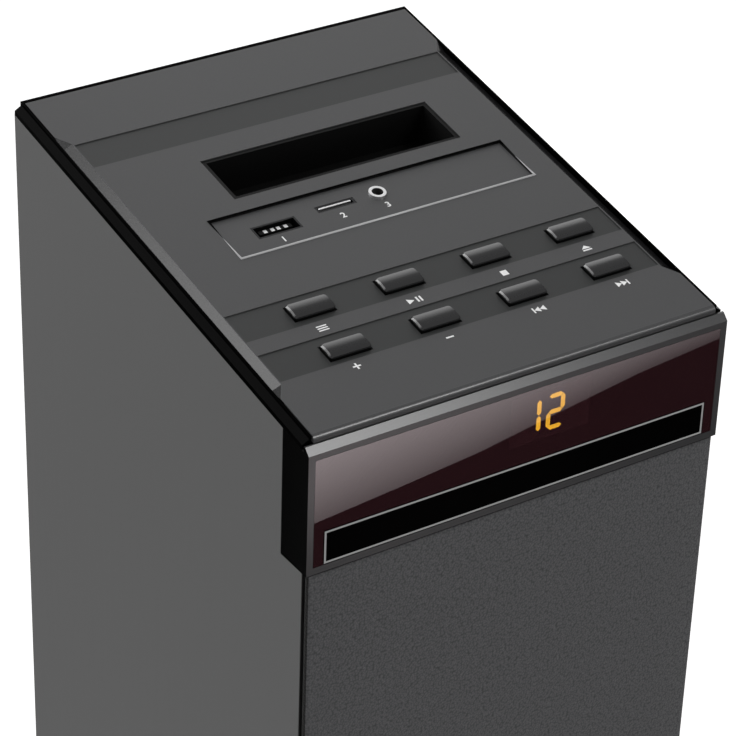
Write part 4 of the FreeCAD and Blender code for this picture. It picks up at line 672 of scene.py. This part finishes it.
def pillow(half_wide, half_long, low, high, chamfer, corner, crown=0.0):
    """Rings of a crowned pad: side wall, chamfer, steeper in front, then in to the centre of the top."""
    inset = (0.0, 0.0, chamfer)
    climb = (low, high - chamfer, high)
    rings = []
    for step in inset:
        shorter = half_long - (1 + FRONT_SHARE) / 2 * step
        ring = rounded_rectangle(half_wide - step, shorter, corner - step / 2)
        rings.append(ring - np.array([0.0, (1 - FRONT_SHARE) / 2 * step]))
    shrink = np.linspace(1.0, 0.0, TOP_RINGS + 1)[1:]
    rings += [rings[-1] * share for share in shrink]
    plan = np.stack(rings)
    rise = np.concatenate([climb, np.full(len(shrink), high)])[:, None]
    lift = np.where(rise > low, crown * (1 - (plan[..., 1] / half_long) ** 2), 0.0)
    return plan, rise + lift


def button_top(name, across, up):
    """One crowned button on the deck, standing for the solid of that name."""
    plan, height = pillow(BUTTON_WIDE / 2, BUTTON_LONG / 2, BUTTON_FOOT, BUTTON_EDGE, BUTTON_CHAMFER,
                          BUTTON_CORNER, BUTTON_CROWN)
    points = on_deck(across + plan[..., 0], up + plan[..., 1], height)
    piece = new_piece(name + "_top", points, grid_quads(*height.shape, ring=True), button_abs,
                      name + "_button", smooth=True)
    piece.data.set_sharp_from_angle(angle=math.radians(SHARP_ANGLE))
    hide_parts(name + "_button")


for row, names in enumerate(BUTTON_ROWS):
    for column, name in enumerate(names):
        button_top(name, FIRST_ACROSS + column * BUTTON_PITCH, FIRST_UP + row * BUTTON_ROW)
print("button tops:", sum(len(names) for names in BUTTON_ROWS))

# %% [markdown]
# ## Printed symbols
# White ink marks each button and socket. Every symbol here is a common one: three lines for a menu,
# triangles and bars for the disc, plus and minus for loudness, and plain numbers for the sockets. A
# symbol is a few polygons in millimetres, laid on the deck and given the thickness of a layer of ink.

# %% Print the symbols
def bar(left, right, low, high):
    """A rectangle's corners, anticlockwise."""
    return np.array([(left, low), (right, low), (right, high), (left, high)], float)


def arrow(foot, tip, half):
    """A triangle from its foot to its tip, anticlockwise whichever way it points."""
    corners = np.array([(foot, -half), (tip, 0.0), (foot, half)], float)
    return corners if tip > foot else corners[::-1]


TALL = 1.15
SYMBOLS = {
    "mode": [bar(-1.7, 1.7, 0.7, TALL), bar(-1.7, 1.7, -0.22, 0.22), bar(-1.7, 1.7, -TALL, -0.7)],
    "play": [arrow(-2.5, -0.3, TALL), bar(0.5, 1.1, -TALL, TALL), bar(1.7, 2.3, -TALL, TALL)],
    "stop": [bar(-1.1, 1.1, -1.1, 1.1)],
    "open_close": [np.array([(-1.6, -0.2), (1.6, -0.2), (0.0, 1.3)]), bar(-1.6, 1.6, -TALL, -0.6)],
    "volume_up": [bar(-1.3, 1.3, -0.28, 0.28), bar(-0.28, 0.28, 0.28, 1.3), bar(-0.28, 0.28, -1.3, -0.28)],
    "volume_down": [bar(-1.3, 1.3, -0.28, 0.28)],
    "previous": [bar(-2.4, -1.9, -TALL, TALL), arrow(0.0, -1.9, TALL), arrow(1.9, 0.0, TALL)],
    "next": [arrow(-1.9, 0.0, TALL), arrow(0.0, 1.9, TALL), bar(1.9, 2.4, -TALL, TALL)],
}
SYMBOL_ACROSS = (-42.5, -11.0, 20.5, 50.2)
SYMBOL_UP = (20.1, 38.5)
INK = 0.03


def white_ink():
    """Screen-printed white ink: an almost flat white with a slightly broken edge to its gloss."""
    return moulded("white_screen_ink", "#dcdcdc", "#f2f2f2", 0.5, 0.01, 0.6, level=0.2)


def laid_flat(shapes, lay):
    """Points and faces of flat polygons after `lay` has taken their two columns to the part's frame."""
    points = np.concatenate([lay(shape[:, 0], shape[:, 1]) for shape in shapes])
    starts = np.cumsum([0] + [len(shape) for shape in shapes])
    faces = [list(range(first, last)) for first, last in zip(starts, starts[1:])]
    return points, faces


def numeral(text, tall):
    """A number's outline as flat faces: the built-in font made a mesh, scaled to a height and centred."""
    font = bpy.data.curves.new("numeral", "FONT")
    font.body = text
    font.fill_mode = "FRONT"
    font.offset = 0.02
    holder = bpy.data.objects.new("numeral", font)
    mesh = bpy.data.meshes.new_from_object(holder)
    flat = np.zeros(3 * len(mesh.vertices))
    mesh.vertices.foreach_get("co", flat)
    flat = flat.reshape(-1, 3)[:, :2]
    flat = (flat - (flat.max(0) + flat.min(0)) / 2) * (tall / np.ptp(flat[:, 1]))
    shapes = [flat[list(face.vertices)] for face in mesh.polygons]
    bpy.data.objects.remove(holder)
    bpy.data.meshes.remove(mesh)
    bpy.data.curves.remove(font)
    return shapes


ink = white_ink()
shapes = []
for row, names in enumerate(BUTTON_ROWS):
    for column, name in enumerate(names):
        centre = np.array([SYMBOL_ACROSS[column], SYMBOL_UP[row]])
        shapes += [shape + centre for shape in SYMBOLS[name]]
points, faces = laid_flat(shapes, lambda across, up: on_deck(across, up, INK))
symbols = new_piece("deck_symbols", points, faces, ink, "cabinet")
thickened(symbols, INK)

PANEL_OUT = -0.6
shapes = []
for text, across, up in (("1", -30.7, 79.2), ("2", -8.2, 82.2), ("3", 7.2, 81.4)):
    shapes += [shape + np.array([across, up]) for shape in numeral(text, 2.4)]
points, faces = laid_flat(shapes, lambda across, up: on_deck(across, up, PANEL_OUT + INK))
socket_numbers = new_piece("socket_numbers", points, faces, ink, "cabinet")
thickened(socket_numbers, INK)

REAR_FACE, ROCKER_ACROSS, ROCKER_UP, MARK_AWAY = 88.0, 24.0, 130.0, 15.0
shapes = [shape + np.array([0.0, MARK_AWAY]) for shape in numeral("1", 4.0)]
shapes += [shape - np.array([0.0, MARK_AWAY]) for shape in numeral("0", 4.0)]
points, faces = laid_flat(shapes, lambda across, up: MM * np.stack(
    [ROCKER_ACROSS - across, np.full(len(up), REAR_FACE + INK), ROCKER_UP + up], axis=-1))
rocker_marks = new_piece("rocker_marks", points, faces, ink, "cabinet")
thickened(rocker_marks, INK)
print("symbols:", len(SYMBOLS), "and five numbers")

# %% [markdown]
# ## Digits behind the window
# The display shows two amber digits. Each is made of bars with pointed ends, as on a lit segment display.
# They sit on the front of the display block and glow through the window, so their strength is well above
# one to survive the dark tint, and their greenish yellow turns amber behind the red-brown.

# %% Light the digits
DIGIT_WIDE, DIGIT_TALL, BAR_WIDE = 4.9, 10.6, 1.5
SEGMENT_GAP = 0.08
SEGMENT_ENDS = {
    "top": ((0, 1), (1, 1)), "upper_right": ((1, 1), (1, 0.5)), "lower_right": ((1, 0.5), (1, 0)),
    "bottom": ((0, 0), (1, 0)), "lower_left": ((0, 0.5), (0, 0)), "middle": ((0, 0.5), (1, 0.5)),
}
ONE = ("upper_right", "lower_right")
TWO = ("top", "upper_right", "middle", "lower_left", "bottom")


def segment(name, left, low):
    """A bar between two corners of the digit: six points, tapering to a point at each end."""
    size = np.array([DIGIT_WIDE, DIGIT_TALL])
    start, end = (np.array(corner) * size for corner in SEGMENT_ENDS[name])
    along = (end - start) / np.linalg.norm(end - start)
    aside = np.array([-along[1], along[0]]) * BAR_WIDE / 2
    start, end = start + along * SEGMENT_GAP, end - along * SEGMENT_GAP
    taper = along * BAR_WIDE / 2
    ring = np.array([start, start + taper - aside, end - taper - aside, end, end - taper + aside,
                     start + taper + aside])
    return ring + np.array([left, low])


def amber_light():
    """Lit segments: an emission whose strength varies a little with a noise."""
    material, tree = new_material("amber_light_segments")
    mottle = grain(tree, 2.5)
    surface = add(tree, "ShaderNodeBsdfPrincipled", {
        "Base Color": colour("#402000"), "Roughness": 0.6,
        "Emission Color": colour("#dcff40"), "Emission Strength": spread(tree, mottle, 15.0, 21.0)})
    add(tree, "ShaderNodeOutputMaterial", {"Surface": surface.outputs["BSDF"]})
    return material


DIGIT_BASE = DECK_LOW - 22.2
GLOW_Y, GLOW_THICK = -83.45, 0.04
ONE_LEFT, TWO_LEFT = 1.2, 9.5
shapes = [segment(name, ONE_LEFT, 0.0) for name in ONE] + [segment(name, TWO_LEFT, 0.0) for name in TWO]
points, faces = laid_flat(shapes, lambda across, up: MM * np.stack(
    [across, np.full(len(up), GLOW_Y), DIGIT_BASE + up], axis=-1))
digits = new_piece("lit_digits", points, faces, amber_light(), "cabinet")
thickened(digits, GLOW_THICK)
print("digits lit: 12")

# %% [markdown]
# ## Line round the tray
# A thin pale line frames the tray's door. On the real one it is a painted edge; here it is a flat ring,
# an outer and an inner rectangle joined corner to corner, that rides with the tray when it opens.

# %% Draw the line
def rectangle_ring(half_wide, low, high, width, lay):
    """Two rings of four corners, the inner one set in by the width, joined by four quads."""
    outer = bar(-half_wide, half_wide, low, high)
    inner = bar(-half_wide + width, half_wide - width, low + width, high - width)
    rings = np.stack([outer, inner])
    return lay(rings[..., 0], rings[..., 1]), grid_quads(2, 4, ring=True)


LINE_WIDE, LINE_OUT = 0.6, 0.06
door_low, door_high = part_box("tray_door")
points, faces = rectangle_ring(
    door_high.x / MM, door_low.z / MM, door_high.z / MM, LINE_WIDE,
    lambda across, up: MM * np.stack([across, np.full_like(across, FACE - LINE_OUT), up], axis=-1))
line_paint = moulded("pale_grey_paint", "#9a9a9a", "#a4a4a4", 1.0, 0.01, 0.5, level=0.2)
tray_line = new_piece("tray_line", points, faces, line_paint, "tray")
thickened(tray_line, LINE_OUT)
print("tray line is", LINE_WIDE, "mm wide")

# %% [markdown]
# ## Bead round the socket panel, in painted highlight and painted shade
# A bead runs round the socket panel. Its lower half is light grey, a painted highlight, and thins out half
# way up each end, where an upper half in polished black, a painted shade, takes over. Each is a half circle
# carried along a path of three straight runs; the radius of the half circle follows the path, so a bead
# ends in two points.

# %% Run the bead
PANEL_LEFT, PANEL_RIGHT = -47.6, 57.0
PANEL_LOW, PANEL_MIDDLE, PANEL_TOP = 75.4, 86.0, 94.6
BEAD_RADIUS, BEAD_POINT = 0.36, 0.02


def bead(corners, radius):
    """Half circles on a path: each stands across the path's direction there, and shrinks at both ends."""
    corners = np.array(corners, float)
    along = np.diff(corners, axis=0)
    along /= np.linalg.norm(along, axis=1)[:, None]
    mitre = np.concatenate([along[:1], along[:-1] + along[1:], along[-1:]])
    aside = np.stack([mitre[:, 1], -mitre[:, 0]], axis=-1)
    ends = np.concatenate([along[:1], along])
    reach = aside / np.abs((aside * np.stack([ends[:, 1], -ends[:, 0]], axis=-1)).sum(1))[:, None]
    angle = np.linspace(0.0, np.pi, 9)
    size = np.full(len(corners), radius)
    size[[0, -1]] = BEAD_POINT
    plan = corners[:, None] + (size[:, None] * np.cos(angle))[..., None] * reach[:, None]
    return plan, size[:, None] * np.sin(angle)


plan, height = bead([(PANEL_LEFT, PANEL_MIDDLE), (PANEL_LEFT, PANEL_LOW), (PANEL_RIGHT, PANEL_LOW),
                     (PANEL_RIGHT, PANEL_MIDDLE)], BEAD_RADIUS)
dark_plan, dark_height = bead([(PANEL_RIGHT, PANEL_MIDDLE), (PANEL_RIGHT, PANEL_TOP),
                               (PANEL_LEFT, PANEL_TOP), (PANEL_LEFT, PANEL_MIDDLE)], BEAD_RADIUS)
# Painted shade: the upper half of the bead is polished black.
new_piece("socket_panel_painted_shade_bead", on_deck(dark_plan[..., 0], dark_plan[..., 1], dark_height),
          grid_quads(*dark_height.shape), gloss_abs, "cabinet", smooth=True)
# Painted highlight: the lower half of the bead is light grey.
highlight_bead_abs = moulded("painted_highlight_grey_abs", "#a6a6a7", "#aeaeaf", 0.6, 0.004, 0.2, bump=0.05)
new_piece("socket_panel_painted_highlight_bead", on_deck(plan[..., 0], plan[..., 1], height), grid_quads(*height.shape),
          highlight_bead_abs, "cabinet", smooth=True)
print("bead is", 2 * BEAD_RADIUS, "mm wide")

# %% [markdown]
# ## Grille cloth
# Acoustic cloth is a knit stretched over the grille's board and folded round its edges. One sheet does it:
# flat across the front, a small round at each edge and a short run back. A fold function takes a distance
# along the cloth to a place and a depth, and it works the same way across and up.

# %% Stretch the cloth
CLOTH_THICK = 0.55
FOLD_ROUND, FOLD_SHADE_LINE = 1.2, 0.5
LOOP_PITCH, YARN_WIDE = 0.75, 1.6
low_corner, high_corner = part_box("grille_cloth")


def fold(along, half, back):
    """Distance along the cloth to (place, depth): flat, then a quarter circle, then straight back."""
    flat = half - FOLD_ROUND
    over = np.abs(along) - flat
    angle = np.clip(over / FOLD_ROUND, 0.0, np.pi / 2)
    tail = np.clip(over - FOLD_ROUND * np.pi / 2, 0.0, back)
    place = np.sign(along) * np.where(over > 0, flat + FOLD_ROUND * np.sin(angle), np.abs(along))
    depth = np.where(over > 0, FOLD_ROUND * (1 - np.cos(angle)), 0.0) + tail
    return place, depth


def folded_steps(half, back, flats):
    """Distances along the cloth: close together in the two folds, wide apart on the flat."""
    flat = half - FOLD_ROUND
    turn = flat + FOLD_ROUND * np.linspace(0.0, np.pi / 2, 7)
    edge = np.append(turn, flat + FOLD_ROUND * np.pi / 2 + back)
    return np.concatenate([-edge[::-1], np.linspace(-flat, flat, flats)[1:-1], edge])


half_wide = (high_corner.x - low_corner.x) / 2 / MM
half_tall = (high_corner.z - low_corner.z) / 2 / MM
middle = (high_corner.z + low_corner.z) / 2 / MM
back = (high_corner.y - low_corner.y) / MM - FOLD_ROUND
steps_across = folded_steps(half_wide, back, 12)
steps_up = folded_steps(half_tall, back, 60)
sheet_across, sheet_up = np.meshgrid(steps_across, steps_up)
place_x, depth_x = fold(sheet_across, half_wide, back)
place_z, depth_z = fold(sheet_up, half_tall, back)
points = MM * np.stack([place_x, FACE + np.maximum(depth_x, depth_z), middle + place_z], axis=-1)


def knitted_cloth():
    """Acoustic knit: small loops, uneven in tone, with a soft sheen; the folded rim is painted dark as
    painted shade.
    """
    material, tree = new_material("knitted_acoustic_cloth")
    flat = add(tree, "ShaderNodeTexCoord").outputs["UV"]
    loops = add(tree, "ShaderNodeTexVoronoi", {
        "Vector": flat, "Scale": 1.0 / (LOOP_PITCH * MM), "Randomness": 1.0}, voronoi_dimensions="2D")
    yarn = add(tree, "ShaderNodeTexNoise", {
        "Vector": flat, "Scale": 1.0 / (YARN_WIDE * MM), "Detail": 3.0, "Roughness": 0.7}).outputs["Fac"]
    gap = spread(tree, loops.outputs["Distance"], 1.0, 0.0)
    tone = maths(tree, "MULTIPLY", gap, yarn)
    place = add(tree, "ShaderNodeTexCoord").outputs["Object"]
    depth = add(tree, "ShaderNodeSeparateXYZ", {"Vector": place}).outputs["Y"]
    # Painted shade: the cloth round the folds, set back from the front, is coloured near-black (#0c0c0c).
    fold_shade = maths(tree, "GREATER_THAN", depth, (FACE + FOLD_SHADE_LINE) * MM)
    surface = add(tree, "ShaderNodeBsdfPrincipled", {
        "Base Color": two_tone(tree, fold_shade, two_tone(tree, tone, "#38383a", "#6c6c6d"), "#0c0c0c"),
        "Roughness": 0.9, "Specular IOR Level": 0.15, "Sheen Weight": 0.15, "Sheen Roughness": 0.5,
        "Normal": bumped(tree, gap, 0.6, 0.25)})
    add(tree, "ShaderNodeOutputMaterial", {"Surface": surface.outputs["BSDF"]})
    return material


cloth = new_piece("stretched_grille_cloth", points, grid_quads(*sheet_across.shape), knitted_cloth(),
                  "cabinet", smooth=True)
flat_map = cloth.data.uv_layers.new(name="flat_cloth")
corner_index = np.zeros(len(cloth.data.loops), int)
cloth.data.loops.foreach_get("vertex_index", corner_index)
flat_points = MM * np.stack([sheet_across, sheet_up], axis=-1).reshape(-1, 2)
flat_map.data.foreach_set("uv", flat_points[corner_index].ravel())
thickened(cloth, CLOTH_THICK)
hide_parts("grille_cloth")

# %% [markdown]
# ## Contacts in the sockets
# The wide socket holds a black tongue with four contacts, a bright strip of contacts lines the rear wall
# of the card socket and leaves 0.9 mm for the card, and the mains inlet has two bright pins. Tongue and
# strip are the pillow from the buttons, made small; each pin is a profile turned round its axis, and so is
# the black lining of the round jack, a cup that leaves its bore free.

# %% Tongue, contacts and pins
def small_pad(name, across, up, plan, height, material):
    """A pillow made small and laid in a socket, with its edges kept sharp."""
    points = on_deck(across + plan[..., 0], up + plan[..., 1], height)
    faces = grid_quads(*height.shape, ring=True)
    pad = new_piece(name, points, faces, material, "cabinet", smooth=True)
    pad.data.set_sharp_from_angle(angle=math.radians(SHARP_ANGLE))


USB_ACROSS, USB_UP = -29.9, 85.5
CONTACT_HALF, CONTACT_OUT, CONTACT_THICK = 0.6, -1.47, 0.04
plan, height = pillow(5.65, 0.95, low=-4.0, high=-1.5, chamfer=0.15, corner=0.3)
small_pad("usb_tongue_sleeve", USB_ACROSS, USB_UP, plan, height, slot_abs)
shapes = [bar(across - CONTACT_HALF, across + CONTACT_HALF, USB_UP - 0.8, USB_UP + 0.6)
          for across in USB_ACROSS + np.array([-3.5, -1.0, 1.0, 3.5])]
points, faces = laid_flat(shapes, lambda across, up: on_deck(across, up, CONTACT_OUT))
contacts = new_piece("usb_contacts", points, faces, bright_nickel, "cabinet")
thickened(contacts, CONTACT_THICK)

STRIP_ACROSS, STRIP_UP, STRIP_LONG, STRIP_WIDE = -7.8, 87.73, 11.2, 0.7
plan, height = pillow(STRIP_LONG / 2, STRIP_WIDE / 2, low=-3.0, high=-0.72, chamfer=0.1, corner=0.2)
small_pad("card_contact_strip", STRIP_ACROSS, STRIP_UP, plan, height, bright_nickel)

TURNED_STEPS = 28
round_angle = np.linspace(0.0, 2 * np.pi, TURNED_STEPS, endpoint=False)
JACK_ACROSS, JACK_UP, LINING_RADIUS, LINING_TOP, LINING_FLOOR = 6.9, 87.1, 1.77, 0.2, -12.6
LINING_THICK = 0.02
radius = np.array([LINING_RADIUS, LINING_RADIUS, 0.0])[:, None]
out = np.array([LINING_TOP, LINING_FLOOR, LINING_FLOOR])[:, None]
points = on_deck(JACK_ACROSS + radius * np.cos(round_angle), JACK_UP + radius * np.sin(round_angle), out)
lining = new_piece("jack_lining", points, grid_quads(3, TURNED_STEPS, ring=True), slot_abs, "cabinet",
                   smooth=True)
lining.data.set_sharp_from_angle(angle=math.radians(SHARP_ANGLE))
thickened(lining, LINING_THICK)

PIN_PROFILE = ((1.25, 74.2), (1.25, 82.4), (1.0, 83.1), (0.4, 83.3), (0.0, 83.3))
PIN_UP = 130.0


def turned_along_y(profile, across, up):
    """A profile of (radius, y) carried round an axis along Y through (across, up)."""
    radius, depth = (np.array(column, float)[:, None] for column in zip(*profile))
    x = across + radius * np.cos(round_angle)
    z = up + radius * np.sin(round_angle)
    return MM * np.stack(np.broadcast_arrays(x, depth + 0 * round_angle, z), axis=-1)


for side, across in (("left", -28.3), ("right", -19.7)):
    points = turned_along_y(PIN_PROFILE, across, PIN_UP)
    new_piece("inlet_pin_" + side, points, grid_quads(len(PIN_PROFILE), TURNED_STEPS, ring=True), nickel,
              "cabinet", smooth=True)
print("contacts: 4, pins: 2")
